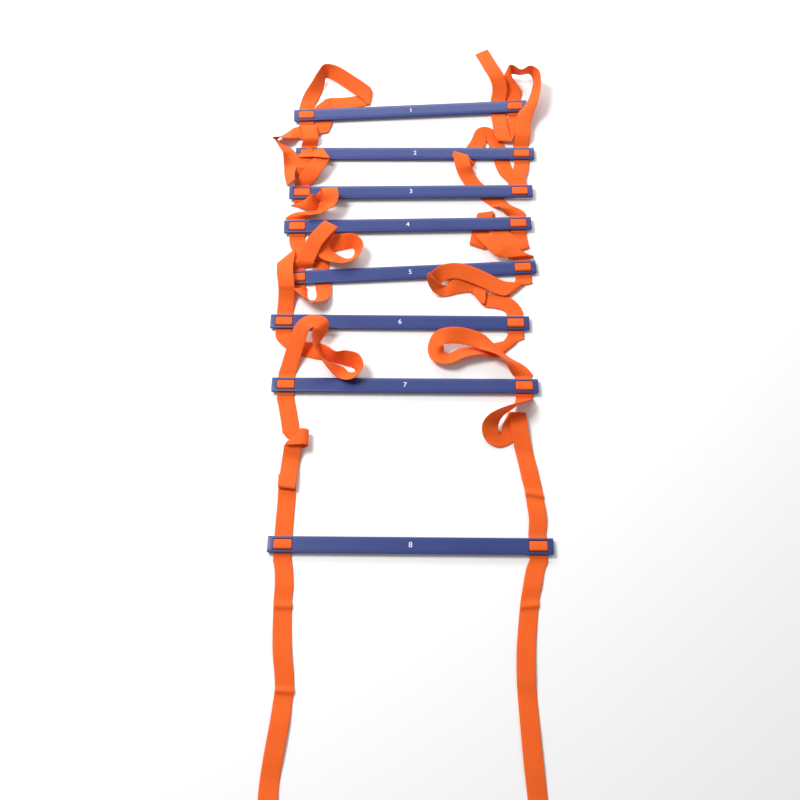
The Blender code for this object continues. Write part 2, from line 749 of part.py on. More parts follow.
def settle(free, fixed, places):
    """Lift the free straps until every layer clears the ones it crosses, and stays over the floor."""
    names, heights, floors, movable, samples, owners, reaches = [], [], [], [], [], [], []
    spans = {}
    for name, (lines, ends) in list(free.items()) + [(n, (l, None)) for n, l in fixed.items()]:
        first = len(heights)
        spans[name] = (first, first + len(lines))
        reach = reach_along(lines)
        for point, index, rise, slope, steep in layer_samples(lines):
            samples.append((point, first + index, rise, slope, steep))
            owners.append(name)
            reaches.append(reach[index])
        heights += [middle.z for middle, _ in lines]
        floors += [floor_height(half) for _, half in lines]
        held = (STEPS_PER_SPAN, STEPS_PER_SPAN)
        if ends:
            held = tuple(STEPS_PER_SPAN if end else -1 for end in ends)
        inner = range(held[0] + 1, len(lines) - 1 - held[1])
        movable += [bool(ends) and index in inner for index in range(len(lines))]
    for number, place in places.items():
        for point, index, rise, slope, steep in rung_samples(place):
            samples.append((point, len(heights), rise, slope, steep))
            owners.append(f"rung_{number}")
            reaches.append(0)
        heights.append(place.translation.z + RUNG_THICKNESS / 2)
        floors.append(0)
        movable.append(False)
    tree = KDTree(len(samples))
    for index, sample in enumerate(samples):
        tree.insert((sample[0].x, sample[0].y, 0), index)
    tree.balance()
    uppers, lowers, gaps = [], [], []
    for index, (point, line, rise, slope, steep) in enumerate(samples):
        if not movable[line]:
            continue
        for _, other, _ in tree.find_range((point.x, point.y, 0), LAYER_REACH):
            point_2, line_2, rise_2, slope_2, steep_2 = samples[other]
            if line == line_2 or (movable[line_2] and other < index):
                continue
            free_length = FOLD_FREE_LENGTH / min(steep, steep_2) ** 2
            if owners[other] == owners[index] and abs(reaches[other] - reaches[index]) < free_length:
                continue
            half_step = (point_2.xy - point.xy) / 2
            rise_here = rise + slope[0] * half_step.x + slope[1] * half_step.y
            rise_there = rise_2 - slope_2[0] * half_step.x - slope_2[1] * half_step.y
            is_rung = owners[other].startswith("rung")
            need = (WEB_THICKNESS / 2 if is_rung else WEB_THICKNESS) / min(steep, steep_2) + LAYER_GAP
            over = heights[line] > heights[line_2]
            uppers.append(line if over else line_2)
            lowers.append(line_2 if over else line)
            gaps.append(need - (rise_here - rise_there) * (1 if over else -1))
    uppers, lowers, gaps = np.array(uppers), np.array(lowers), np.array(gaps)
    start = np.array(heights)
    level = start.copy()
    floors = np.array(floors)
    movable = np.array(movable)
    weight = movable[uppers].astype(float) + movable[lowers]
    for turn in range(SETTLE_ROUNDS):
        lack = np.maximum(gaps - (level[uppers] - level[lowers]), 0) / weight
        up, down = np.zeros(len(level)), np.zeros(len(level))
        np.maximum.at(up, uppers, lack * movable[uppers])
        np.maximum.at(down, lowers, lack * movable[lowers])
        level += up - down
        level = np.where(movable, np.maximum(level, floors), level)
        if turn < SETTLE_ROUNDS - SETTLE_LAST_ROUNDS:
            shift = level - start
            for first, last in spans.values():
                part = shift[first:last].copy()
                part[1:-1] = part[1:-1] / 2 + (part[2:] + part[:-2]) / 4
                shift[first:last] = part
            level = np.where(movable, np.maximum(start + shift, floors), level)
    for name, (lines, _) in free.items():
        first = spans[name][0]
        for index, (middle, _) in enumerate(lines):
            middle.z = float(level[first + index])


def free_stretches():
    """Every free stretch of webbing: its name, its start, its route, its finish and the rung it lies with."""
    left, right = -1, 1
    near, far = -1, 1
    return (
        ("left_webbing_far_tail", foot(1, left, far), LEFT_FAR_TAIL_PIXELS_AND_SHARES, None, 1),
        ("left_webbing_1_to_2", foot(1, left, near), LEFT_1_TO_2_PIXELS_AND_SHARES, foot(2, left, far), 2),
        ("left_webbing_2_to_3", foot(2, left, near), LEFT_2_TO_3_PIXELS_AND_SHARES, foot(3, left, far), 3),
        ("left_webbing_3_to_4", foot(3, left, near), LEFT_3_TO_4_PIXELS_AND_SHARES, foot(4, left, far), 4),
        ("left_webbing_4_to_5", foot(4, left, near), LEFT_4_TO_5_PIXELS_AND_SHARES, foot(5, left, far), 5),
        ("left_webbing_5_to_6", foot(5, left, near), LEFT_5_TO_6_PIXELS_AND_SHARES, foot(6, left, far), 6),
        ("left_webbing_6_to_7", foot(6, left, near), LEFT_6_TO_7_PIXELS_AND_SHARES, foot(7, left, far), 7),
        ("left_webbing_7_to_8", foot(7, left, near), LEFT_7_TO_8_PIXELS_AND_SHARES, foot(8, left, far), 8),
        ("left_webbing_near_tail", foot(8, left, near), LEFT_NEAR_TAIL_PIXELS_AND_SHARES, None, 8),
        ("right_webbing_far_tail", foot(1, right, near), RIGHT_FAR_TAIL_PIXELS_AND_SHARES, None, 1),
        ("right_webbing_1_to_2", foot(1, right, far), RIGHT_1_TO_2_PIXELS_AND_SHARES, foot(2, right, far), 2),
        ("right_webbing_2_to_3", foot(2, right, near), RIGHT_2_TO_3_PIXELS_AND_SHARES, foot(3, right, far), 3),
        ("right_webbing_3_to_4", foot(3, right, near), RIGHT_3_TO_4_PIXELS_AND_SHARES, foot(4, right, far), 4),
        ("right_webbing_4_to_5", foot(4, right, near), RIGHT_4_TO_5_PIXELS_AND_SHARES, foot(5, right, far), 5),
        ("right_webbing_5_to_6", foot(5, right, near), RIGHT_5_TO_6_PIXELS_AND_SHARES, foot(6, right, far), 6),
        ("right_webbing_6_to_7", foot(6, right, near), RIGHT_6_TO_7_PIXELS_AND_SHARES, foot(7, right, far), 7),
        ("right_webbing_7_to_8", foot(7, right, near), RIGHT_7_TO_8_PIXELS_AND_SHARES, foot(8, right, far), 8),
        ("right_webbing_near_tail", foot(8, right, near), RIGHT_NEAR_TAIL_PIXELS_AND_SHARES, None, 8),
    )


def add_webbing(carriers, material, parts):
    """Both straps: the stretch through each rung's slots, and the free stretches between them."""
    fixed, free, holders = {}, {}, {}
    for number in carriers:
        for side, word in ((-1, "left"), (1, "right")):
            name = f"{word}_webbing_at_rung_{number}"
            fixed[name] = threaded_lines(number, side)
            holders[name] = carriers[number]
    for name, start, route, finish, number in free_stretches():
        free[name] = (route_lines(start, route, finish), (bool(start), bool(finish)))
        holders[name] = carriers[number]
    settle(free, fixed, {number: rung_matrix(number) for number in carriers})
    for name, lines in fixed.items():
        add_strap(name, lines, material, parts, holders[name], True)
    for name, (lines, _) in free.items():
        add_strap(name, lines, material, parts, holders[name], False)


def build():
    """Make the whole ladder."""
    clear_scene()
    parts = make_collection("agility_ladder")
    cutters = make_collection("cutters")
    rung_plastic = make_material("rung_plastic", RUNG_COLOUR, 0.38, 0.0)
    webbing = make_material("webbing", WEB_COLOUR, 0.72, 0.0)
    carriers = {number: add_carrier(number, parts) for number in RUNG_PLACES_PIXELS_AND_SHARES}
    add_rungs(carriers, rung_plastic, parts, cutters)
    add_webbing(carriers, webbing, parts)


build()
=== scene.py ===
"""Agility ladder: eight flat moulded rungs threaded on two woven straps, lying as in the photograph."""

import logging
import math
from dataclasses import dataclass, field
from enum import Enum
from typing import Any, NamedTuple

import bmesh
import bpy
import numpy as np
from mathutils import Matrix, Vector
from mathutils.kdtree import KDTree


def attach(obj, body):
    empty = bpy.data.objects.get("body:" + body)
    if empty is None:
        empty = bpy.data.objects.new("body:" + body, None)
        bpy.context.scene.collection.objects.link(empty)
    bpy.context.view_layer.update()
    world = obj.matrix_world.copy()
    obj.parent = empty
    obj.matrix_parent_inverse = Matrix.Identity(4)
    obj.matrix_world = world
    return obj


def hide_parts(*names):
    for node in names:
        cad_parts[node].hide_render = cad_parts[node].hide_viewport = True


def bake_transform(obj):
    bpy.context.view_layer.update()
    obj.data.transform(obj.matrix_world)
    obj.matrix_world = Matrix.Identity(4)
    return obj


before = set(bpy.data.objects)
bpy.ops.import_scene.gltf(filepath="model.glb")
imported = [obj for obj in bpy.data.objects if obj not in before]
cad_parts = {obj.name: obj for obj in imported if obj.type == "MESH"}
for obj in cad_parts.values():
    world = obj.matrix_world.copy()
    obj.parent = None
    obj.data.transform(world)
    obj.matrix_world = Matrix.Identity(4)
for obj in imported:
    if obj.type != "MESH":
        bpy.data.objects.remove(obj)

LOG = logging.getLogger("agility_ladder")
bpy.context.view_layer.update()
MM_PER_METRE = 1000
WHITE = (1.0, 1.0, 1.0, 1.0)
Colour = tuple[float, float, float, float]
Route = tuple[tuple, ...]

# The straps by the sign of X, and the two long edges of a rung by the sign of Y
LEFT, RIGHT = -1, 1
NEAR, FAR = -1, 1
SIDES = ((LEFT, "left"), (RIGHT, "right"))
# The rung and side where the webbing turns back under the rung instead of leaving past its near edge
TURNED_BACK = (3, RIGHT)

# Routes of the free webbing. Each row is one line across the strap: the pixel of its middle in the
# photograph, its height in webbing widths, the way it points seen from above and its lean over the
# floor, both in degrees. A row that ends in FOLD is a crease, where the strap turns over on itself
# about that line. FLAT_SHARE is the height of webbing that lies flat on the floor
FOLD = "fold"
FLAT_SHARE = 0.03
LEFT_FAR_TAIL_PIXELS_AND_SHARES = (
    (309, 101.5, 0.10, 0, 0),
    (312, 95.5, 0.22, -12, -18),
    (317, 87, 0.40, -25, -45),
    (321.5, 78, 0.56, -42, -60),
    (325.5, 71.5, 0.62, -88, -64),
    (334, 73, 0.56, -118, -45),
    (346, 80, 0.44, -122, -38),
    (358, 88, 0.32, -122, -28),
    (366, 93.5, 0.22, -112, -15),
    (370.5, 98, 0.14, -99, -8, FOLD),
    (358, 101.5, 0.05, -88, 0),
    (343, 103.5, FLAT_SHARE, -88, 0),
    (333, 104, FLAT_SHARE, -92, 0),
    (322, 104.5, FLAT_SHARE, -135, 0, FOLD),
    (325.5, 112, 0.06, 180, 0),
    (325.5, 120.5, FLAT_SHARE, 178, 0),
    (321.5, 130, FLAT_SHARE, 172, 0),
    (313, 138.5, FLAT_SHARE, -146, 0, FOLD),
    (299, 133.5, 0.07, -94, 3),
    (288, 136, 0.30, -90, 30),
    (275.5, 139, 0.52, -105, 56, FOLD),
    (282.5, 146.5, 0.50, -130, 48),
    (289, 153.5, 0.46, -142, 32),
    (291.5, 160.5, 0.38, -172, 5),
    (290.5, 168.5, 0.22, 160, -28),
    (290, 176, 0.34, 165, -46),
    (291, 183, 0.38, 170, -54),
)
LEFT_1_TO_2_PIXELS_AND_SHARES = (
    (308.5, 127.5, 0.27, 1, 0),
    (310, 132.5, 0.42, 2, 0),
    (311, 139.5, 0.38, 2, 0),
)
LEFT_2_TO_3_PIXELS_AND_SHARES = (
    (307, 167, 0.04, 0, 0),
    (306, 173, 0.05, 0, 0),
    (305, 177, 0.08, 0, 0, FOLD),
    (304.5, 170, 0.34, 0, 0),
    (304.5, 160, 0.52, 0, 0),
    (305, 153, 0.60, 40, 0, FOLD),
    (314.5, 153.5, 0.64, 82, -24),
    (325.5, 153.5, 0.70, 119, -10, FOLD),
    (320, 162, 0.62, 151, 3),
    (312.5, 173, 0.46, 154, 3),
    (306, 180.5, 0.22, 166, 0),
)
LEFT_3_TO_4_PIXELS_AND_SHARES = (
    (302.5, 203.5, 0.06, 12, 15),
    (308, 205.5, 0.22, 60, 55),
    (316, 204.5, 0.34, 105, 55),
    (323, 200, 0.42, 140, 30),
    (327.5, 193.5, 0.56, 170, 5),
    (329, 189, 0.84, 182, 0),
    (330, 191.5, 1.02, 184, 0),
    (331, 198, 0.90, 176, -5),
    (327.5, 206, 0.56, 150, -20),
    (318, 211.5, 0.30, 122, -35),
    (307, 215, 0.20, 132, -35),
)
LEFT_4_TO_5_PIXELS_AND_SHARES = (
    (298.5, 245, 0.05, 14, 0),
    (303.5, 249, 0.05, 42, 0),
    (311, 250, 0.05, 74, 0),
    (321, 247, 0.07, 92, 2),
    (333, 244, 0.22, 95, 20),
    (345, 241.5, 0.40, 90, 42),
    (354, 241.5, 0.46, 70, 56),
    (359, 248, 0.46, 12, 56),
    (354.5, 258, 0.40, -60, 52),
    (346, 261, 0.36, -90, 42),
    (336, 259, 0.32, -98, 28),
    (326, 254, 0.36, -120, 6),
    (322, 246, 0.52, -165, 0),
    (325, 234, 0.72, -200, 0),
    (331, 225, 0.98, -212, 0, FOLD),
    (316, 240, 0.92, -206, 5),
    (309.5, 253, 0.62, -197, 3),
    (304.5, 262, 0.40, -188, 0),
)
LEFT_5_TO_6_PIXELS_AND_SHARES = (
    (299.5, 290.5, 0.16, 8, -28),
    (303, 296, 0.36, 30, -58),
    (308, 299.8, 0.46, 48, -66),
    (314, 301, 0.42, 82, -52),
    (320.5, 297.5, 0.30, 122, -30),
    (323.5, 290.5, 0.12, 158, -5),
    (322.5, 281, FLAT_SHARE, 178, 0),
    (321, 272, FLAT_SHARE, 180, 0),
    (321, 262, 0.08, 178, 0),
    (320.5, 253.5, 0.16, 137, 0, FOLD),
    (309, 254, 0.24, 91, 0),
    (298, 255.5, 0.20, 90, 0),
    (287, 257.5, 0.20, 45, 0, FOLD),
    (285.3, 266, 0.50, 0, 0),
    (285.3, 274, 0.60, 0, 0),
    (286.3, 283, 0.50, -1, 0),
    (287, 292, 0.26, 0, 0),
    (286.5, 301, 0.09, 0, 0),
)
LEFT_6_TO_7_PIXELS_AND_SHARES = (
    (285.5, 337, 0.05, 8, 0),
    (292, 343, 0.05, 35, 0),
    (301, 348, 0.06, 62, 0),
    (312, 350, 0.12, 78, 10),
    (324, 353, 0.38, 70, 50),
    (335, 357, 0.50, 60, 72),
    (346, 358, 0.48, 85, 50),
    (356, 361, 0.46, 60, 50),
    (359, 369, 0.48, 0, 60),
    (351, 375, 0.34, -60, 40),
    (340, 372, 0.20, -100, 20),
    (329, 365, 0.42, -120, 50),
    (320, 357, 0.54, -150, 76),
    (316, 348, 0.58, -180, 74),
    (317, 339, 0.66, -180, 60),
    (321, 331, 0.80, -170, 40),
    (321, 325, 0.98, -145, 10),
    (313, 322, 1.06, -100, 6),
    (305, 325, 0.98, -58, 6),
    (300, 333, 0.78, -30, 4),
    (296, 345, 0.50, -15, 2),
    (292, 358, 0.26, -13, 0),
    (289, 368, 0.10, -8, 0),
)
LEFT_7_TO_8_PIXELS_AND_SHARES = (
    (287.3, 407, FLAT_SHARE, 6, 0),
    (289.5, 420, FLAT_SHARE, 7, 0),
    (291, 431, FLAT_SHARE, 5, 0),
    (291.5, 440, FLAT_SHARE, -42, 0, FOLD),
    (298, 440.3, 0.06, -90, 0),
    (303.5, 440, 0.08, -90, 0),
    (307.2, 439, 0.21, -90, 0),
    (308.2, 438, 0.36, -90, 0),
    (307.2, 437, 0.51, -90, 0),
    (303.5, 436.2, 0.63, -90, 0),
    (299, 436.4, 0.60, -92, 0),
    (293.5, 437.2, 0.50, -139, 0, FOLD),
    (292.7, 446.5, 0.36, 174, 0),
    (291.2, 457, 0.14, 171, 0),
    (289.9, 466, 0.14, 171, 0),
    (288.6, 474.5, 0.24, 171, 0),
    (286.6, 486.5, 0.30, 172, 0, FOLD),
    (287.4, 475.5, 0.15, 175, 0, FOLD),
    (287.2, 487, 0.05, 178, 0),
    (286.6, 499, FLAT_SHARE, 178, 0),
    (285, 518, FLAT_SHARE, 179, 0),
)
LEFT_NEAR_TAIL_PIXELS_AND_SHARES = (
    (283.8, 570, FLAT_SHARE, 0, 0),
    (284.0, 586, 0.06, 0, 0),
    (282.9, 601, FLAT_SHARE, -2, 0),
    (282.8, 606, 0.12, -2, 0),
    (282.6, 611, FLAT_SHARE, 0, 0),
    (282.0, 648, 0.09, 0, 0),
    (284.2, 676, 0.05, 2, 0),
    (284.6, 686, FLAT_SHARE, 0, 0),
    (284.4, 691, 0.12, -3, 0),
    (283.6, 696, FLAT_SHARE, -6, 0),
    (280.0, 720, 0.11, -10, 0),
    (274.0, 753, 0.12, -11, 0),
    (269.3, 783, FLAT_SHARE, -6, 0),
    (267.6, 803, 0.09, -3, 0),
    (266.5, 836, FLAT_SHARE, 0, 0),
)

RIGHT_FAR_TAIL_PIXELS_AND_SHARES = (
    (514.5, 121, 0.05, 0, 0),
    (510, 130, 0.10, -6, 0),
    (506, 138, 0.13, -6, 0),
    (504.5, 142, 0.14, -6, 0, FOLD),
    (502, 135, 0.29, -6, 0),
    (500, 125, 0.24, -8, 0),
    (498.5, 114, 0.05, -4, 0),
    (498, 102, 0.04, 0, 0),
    (499.5, 93, 0.30, 3, 0),
    (499, 84, 0.62, 8, 0),
    (496, 76, 0.88, 14, 0),
    (491, 68, 0.98, 20, 0),
    (486, 59.5, 0.98, 26, 0),
    (481.5, 52.3, 0.92, 29, 0),
)
RIGHT_1_TO_2_PIXELS_AND_SHARES = (
    (513.5, 93, 0.10, 0, 5),
    (509.5, 86, 0.26, 0, 18),
    (505.5, 79, 0.50, 5, 42),
    (506, 72.5, 0.76, 20, 74),
    (512.5, 70, 0.86, 75, 96),
    (520.5, 73, 0.86, 88, 112),
    (529.5, 71, 0.84, 75, 100),
    (535.5, 77, 0.80, 15, 74),
    (536, 87, 0.66, 0, 60),
    (534, 98, 0.52, 0, 50),
    (530, 108, 0.40, 0, 36),
    (525, 117, 0.32, 0, 10),
    (522.5, 127, 0.28, 0, 0),
    (523, 136.5, 0.26, 0, 0),
)
RIGHT_2_TO_3_PIXELS_AND_SHARES = (
    (520.5, 170, 0.12, 2, 0),
    (518.5, 177, 0.13, 2, 0),
)
RIGHT_3_TO_4_PIXELS_AND_SHARES = (
    (515, 181, FLAT_SHARE, 12, 0),
    (506.5, 172, FLAT_SHARE, 16, 0),
    (502, 162.5, FLAT_SHARE, 10, 0),
    (500, 153, FLAT_SHARE, 8, 0),
    (496.5, 145.5, FLAT_SHARE, 14, 0),
    (493.5, 139.5, 0.06, 34, 2),
    (486.5, 134, 0.18, 85, 14),
    (482, 135, 0.22, 125, 15),
    (478, 143, 0.08, 150, 0),
    (472, 152, FLAT_SHARE, 152, 0),
    (467, 161, FLAT_SHARE, 156, 0),
    (465, 165, 0.06, 158, 0, FOLD),
    (462, 159, 0.40, 160, 0),
    (461, 155, 0.46, 160, 0, FOLD),
    (463, 165, 0.50, 170, 0),
    (467, 175, 0.20, 195, 0),
    (475, 186, FLAT_SHARE, 212, 0),
    (486, 195, FLAT_SHARE, 226, 0),
    (496, 201.5, 0.04, 226, 0),
    (505, 207, 0.16, 212, 28),
    (513, 211.5, 0.14, 194, 10),
)
RIGHT_4_TO_5_PIXELS_AND_SHARES = (
    (520.5, 243, FLAT_SHARE, 3, 0),
    (521.5, 250, FLAT_SHARE, 20, 0, FOLD),
    (511, 242, 0.18, 38, 0),
    (498.5, 231.5, 0.11, 38, 0),
    (490, 221, 0.11, 34, 0),
    (485.5, 213, 0.13, 9, 0, FOLD),
    (483, 222, 0.13, -20, 0),
    (479.5, 234, 0.08, -21, 0),
    (477, 246, 0.10, -22, 0, FOLD),
    (480.5, 241, 0.30, -25, 0),
    (483.5, 236, 0.34, 8, 0, FOLD),
    (490.5, 242, 0.48, 42, 0),
    (499.5, 250, 0.42, 42, 0),
    (508.5, 253.5, 0.26, 32, 0),
    (516.5, 258, 0.12, 10, 0),
)
RIGHT_5_TO_6_PIXELS_AND_SHARES = (
    (522.5, 283, FLAT_SHARE, 2, 0),
    (515, 291, 0.04, 42, 0, FOLD),
    (502, 289, 0.18, 66, 5),
    (488, 283, 0.28, 68, 12),
    (471, 276, 0.40, 72, 18),
    (455, 272.5, 0.48, 80, 22),
    (443, 274.5, 0.50, 98, 28),
    (435, 280.5, 0.46, 146, 52),
    (440, 287.5, 0.20, 200, 20),
    (446, 289, 0.12, 250, -10),
    (458, 286.5, 0.16, 268, -24),
    (470, 285, 0.14, 262, -18),
    (479, 287, 0.12, 226, 0),
    (478, 291, 0.18, 180, 0),
    (477.5, 297, 0.18, 124, 0, FOLD),
    (488, 300.5, 0.06, 80, 0),
    (498, 302, 0.05, 66, 5),
    (507, 305, 0.05, 42, 5),
    (512.5, 309.5, FLAT_SHARE, 14, 0),
)
RIGHT_6_TO_7_PIXELS_AND_SHARES = (
    (514.5, 339, FLAT_SHARE, 4, 0),
    (508, 349, 0.04, 42, 0, FOLD),
    (494, 350, 0.20, 86, -5),
    (478, 350.5, 0.32, 92, -34),
    (461, 353.5, 0.34, 94, -26),
    (449, 358.5, 0.32, 86, -24),
    (440, 356.5, 0.34, 62, -8),
    (435.5, 347.5, 0.44, 4, 25),
    (439.5, 338, 0.56, -52, 5),
    (448.5, 335.5, 0.66, -86, -20),
    (459, 335.5, 0.66, -92, -25),
    (469, 337.5, 0.62, -96, -20),
    (479, 341, 0.58, -104, -10),
    (488, 346, 0.54, -114, 20),
    (498, 353, 0.48, -122, 46),
    (508, 360, 0.40, -138, 48),
    (517, 368, 0.22, -160, 20),
)
RIGHT_7_TO_8_PIXELS_AND_SHARES = (
    (523, 402, 0.26, 0, 25),
    (515, 408, 0.50, 0, 68),
    (503, 413, 0.52, 0, 100),
    (494, 419, 0.44, 0, 134),
    (490, 427, 0.26, 0, 162),
    (492, 435, 0.12, 205, 0),
    (499, 439, 0.10, 255, 0),
    (506.5, 436, 0.12, 305, 0),
    (511, 427, 0.16, 340, 0),
    (515, 418, 0.22, 350, 0),
    (517.5, 411.5, 0.28, 356, 0, FOLD),
    (519, 420, 0.40, 357, 0),
    (520.5, 432, 0.32, 355, 0),
    (522.5, 444, 0.16, 352, 0),
    (525, 455, FLAT_SHARE, 349, 0),
    (528, 467, 0.08, 347, 0),
    (530.8, 479, 0.05, 346, 0),
    (533.3, 489, FLAT_SHARE, 349, 0),
    (534.2, 494, 0.13, 350, 0),
    (535, 499, FLAT_SHARE, 352, 0),
    (536.3, 507, 0.08, 354, 0),
    (538, 520, 0.09, 358, 0),
)
RIGHT_NEAR_TAIL_PIXELS_AND_SHARES = (
    (535.5, 570, FLAT_SHARE, 4, 0),
    (532.3, 587, 0.08, 6, 0),
    (530, 601, FLAT_SHARE, 5, 0),
    (529.5, 606, 0.12, 5, 0),
    (529, 611, FLAT_SHARE, 4, 0),
    (526.3, 648, 0.09, 0, 0),
    (526.4, 680, 0.11, -3, 0),
    (527.4, 696, FLAT_SHARE, -3, 0),
    (530.6, 732, 0.10, -6, 0),
    (534.0, 767, 0.11, -8, 0),
    (537.6, 798, FLAT_SHARE, -5, 0),
    (541.0, 836, FLAT_SHARE, -4, 0),
)

# Each strap's routes in order: its far tail, its seven bays from rung 1 on and its near tail
STRAP_ROUTES = {
    LEFT: (
        LEFT_FAR_TAIL_PIXELS_AND_SHARES,
        LEFT_1_TO_2_PIXELS_AND_SHARES,
        LEFT_2_TO_3_PIXELS_AND_SHARES,
        LEFT_3_TO_4_PIXELS_AND_SHARES,
        LEFT_4_TO_5_PIXELS_AND_SHARES,
        LEFT_5_TO_6_PIXELS_AND_SHARES,
        LEFT_6_TO_7_PIXELS_AND_SHARES,
        LEFT_7_TO_8_PIXELS_AND_SHARES,
        LEFT_NEAR_TAIL_PIXELS_AND_SHARES,
    ),
    RIGHT: (
        RIGHT_FAR_TAIL_PIXELS_AND_SHARES,
        RIGHT_1_TO_2_PIXELS_AND_SHARES,
        RIGHT_2_TO_3_PIXELS_AND_SHARES,
        RIGHT_3_TO_4_PIXELS_AND_SHARES,
        RIGHT_4_TO_5_PIXELS_AND_SHARES,
        RIGHT_5_TO_6_PIXELS_AND_SHARES,
        RIGHT_6_TO_7_PIXELS_AND_SHARES,
        RIGHT_7_TO_8_PIXELS_AND_SHARES,
        RIGHT_NEAR_TAIL_PIXELS_AND_SHARES,
    ),
}


def into_scene(name: str, data: bpy.types.ID) -> bpy.types.Object:
    """Put a mesh, a text, a lamp or a camera into the scene as an object at the origin.

    Args:
        name: The object's name.
        data: What it shows.

    Returns:
        The new object.
    """
    item = bpy.data.objects.new(name, data)
    bpy.context.scene.collection.objects.link(item)
    return item


def mesh_of(shape: bmesh.types.BMesh, name: str) -> bpy.types.Mesh:
    """Turn what was shaped face by face into a mesh.

    Args:
        shape: The faces, which are freed.
        name: The mesh's name.

    Returns:
        The mesh.
    """
    mesh = bpy.data.meshes.new(name)
    shape.to_mesh(mesh)
    shape.free()
    return mesh


def add_wall(
    shape: bmesh.types.BMesh,
    low: list[bmesh.types.BMVert],
    high: list[bmesh.types.BMVert],
) -> None:
    """Join two rings of as many points by a wall of faces.

    Args:
        shape: What the wall is added to.
        low: One ring.
        high: The other ring.
    """
    for corners in zip(low, low[1:] + low[:1], high[1:] + high[:1], high):
        shape.faces.new(corners)


class Hold(Enum):
    STRETCHED = "stretched"
    FOLDED = "folded"
    LAID = "laid"


class Line(NamedTuple):
    """One line across a strap: its middle and the vector from there to one edge of the strap."""

    middle: Vector
    half: Vector


class Foot(NamedTuple):
    """Where the webbing of a rung meets the floor: its middle, the way out and the line across it."""

    middle: Vector
    outward: Vector
    lined: Vector


@dataclass(frozen=True)
class PhotoView:
    """The camera that took the photograph, in the frame of the ladder."""

    height: float = 1.426
    side: float = -0.0155
    back: float = 0.7187
    tilt_deg: float = 64.3
    focal_pixels: float = 1058
    centre_pixels: float = 400
    sensor_mm: float = 36

    def seen(self, pixel_x: float, pixel_y: float, height: float) -> Vector:
        """Find the point at a height over the floor that the photograph shows at a pixel.

        Args:
            pixel_x: Pixels from the left of the 800 by 800 photograph.
            pixel_y: Pixels from its top.
            height: Height of the point over the floor, in metres.

        Returns:
            The point in the ladder's frame.
        """
        tilt = math.radians(self.tilt_deg)
        right = (pixel_x - self.centre_pixels) / self.focal_pixels
        down = (pixel_y - self.centre_pixels) / self.focal_pixels
        reach = (self.height - height) / (math.sin(tilt) + math.cos(tilt) * down)
        along = reach * (math.cos(tilt) - math.sin(tilt) * down)
        return Vector((self.side + reach * right, along - self.back, height))

    def add_camera(self) -> None:
        """Place the scene's camera where the photograph was taken from."""
        lens = bpy.data.cameras.new("photo_camera")
        lens.sensor_width = self.sensor_mm
        lens.lens = self.sensor_mm * self.focal_pixels / (2 * self.centre_pixels)
        camera = into_scene("photo_camera", lens)
        camera.location = (self.side, -self.back, self.height)
        camera.rotation_euler = (math.radians(90 - self.tilt_deg), 0, 0)
        bpy.context.scene.camera = camera


@dataclass(frozen=True)
class WebSizes:
    """Sizes of the woven strap and of its clearances, in metres.

    A strap meets the floor at edge_reach and foot_run past a rung's edge, or at turn_run past its slot
    where it turns back. Layers nearer than layer_reach, seen from above, clear each other by layer_gap,
    except within fold_free_length of each other along one strap, where a fold joins them.
    """

    width: float = 0.025
    thickness: float = 0.0014
    clearance: float = 0.0003
    foot_run: float = 0.0045
    edge_reach: float = 0.0015
    turn_run: float = 0.0060
    slot_lean: float = 0.0006
    fold_radius: float = 0.0013
    layer_gap: float = 0.0007
    layer_reach: float = 0.0027
    fold_free_length: float = 0.0240
    skew_limit_share: float = 0.62
    bend_radius: float = 0.0016


@dataclass(frozen=True)
class RungSizes:
    """Sizes of a rung, in metres. The webbing's sizes set its slots.

    Its upper face is flat over a share of its width and falls towards both long edges.
    """

    length: float = 0.400
    width: float = 0.024
    thickness: float = 0.0036
    edge_round: float = 0.0011
    corner_round: float = 0.0016
    end_margin: float = 0.008
    slot_width: float = 0.0032
    slot_end_play: float = 0.0008
    slot_rim: float = 0.0002
    bridge_width: float = 0.0108
    crown_drop: float = 0.0006
    crown_flat_share: float = 0.50
    web: WebSizes = WebSizes()

    @property
    def slot_length(self) -> float:
        """Length of a slot: the webbing's width and a little play."""
        return self.web.width + 2 * self.slot_end_play

    @property
    def slot_middle(self) -> float:
        """Distance from the rung's middle to the middle of its slots, along it."""
        return self.length / 2 - self.end_margin - self.slot_length / 2

    @property
    def slot_offset(self) -> float:
        """Distance from the rung's centre line to the middle of either slot."""
        return (self.bridge_width + self.slot_width) / 2


@dataclass(frozen=True)
class RungPlace:
    """How one rung lies: the pixel of its middle, its lift in webbing widths, its turn and its tilt."""

    pixel_x: float
    pixel_y: float
    lift_share: float
    turn_deg: float
    tilt_deg: float

    def matrix(self, view: PhotoView, sizes: RungSizes) -> Matrix:
        """Find where the rung lies.

        Args:
            view: The photograph's camera.
            sizes: The rung's sizes.

        Returns:
            A matrix with X along the rung, Z up and its origin in the rung's underside.
        """
        lift = self.lift_share * sizes.web.width
        place = view.seen(self.pixel_x, self.pixel_y, lift + sizes.thickness)
        place.z = lift + math.sin(math.radians(abs(self.tilt_deg))) * sizes.width / 2
        spin = Matrix.Rotation(math.radians(self.turn_deg), 4, "Z")
        tip = Matrix.Rotation(math.radians(self.tilt_deg), 4, "X")
        return Matrix.Translation(place) @ spin @ tip


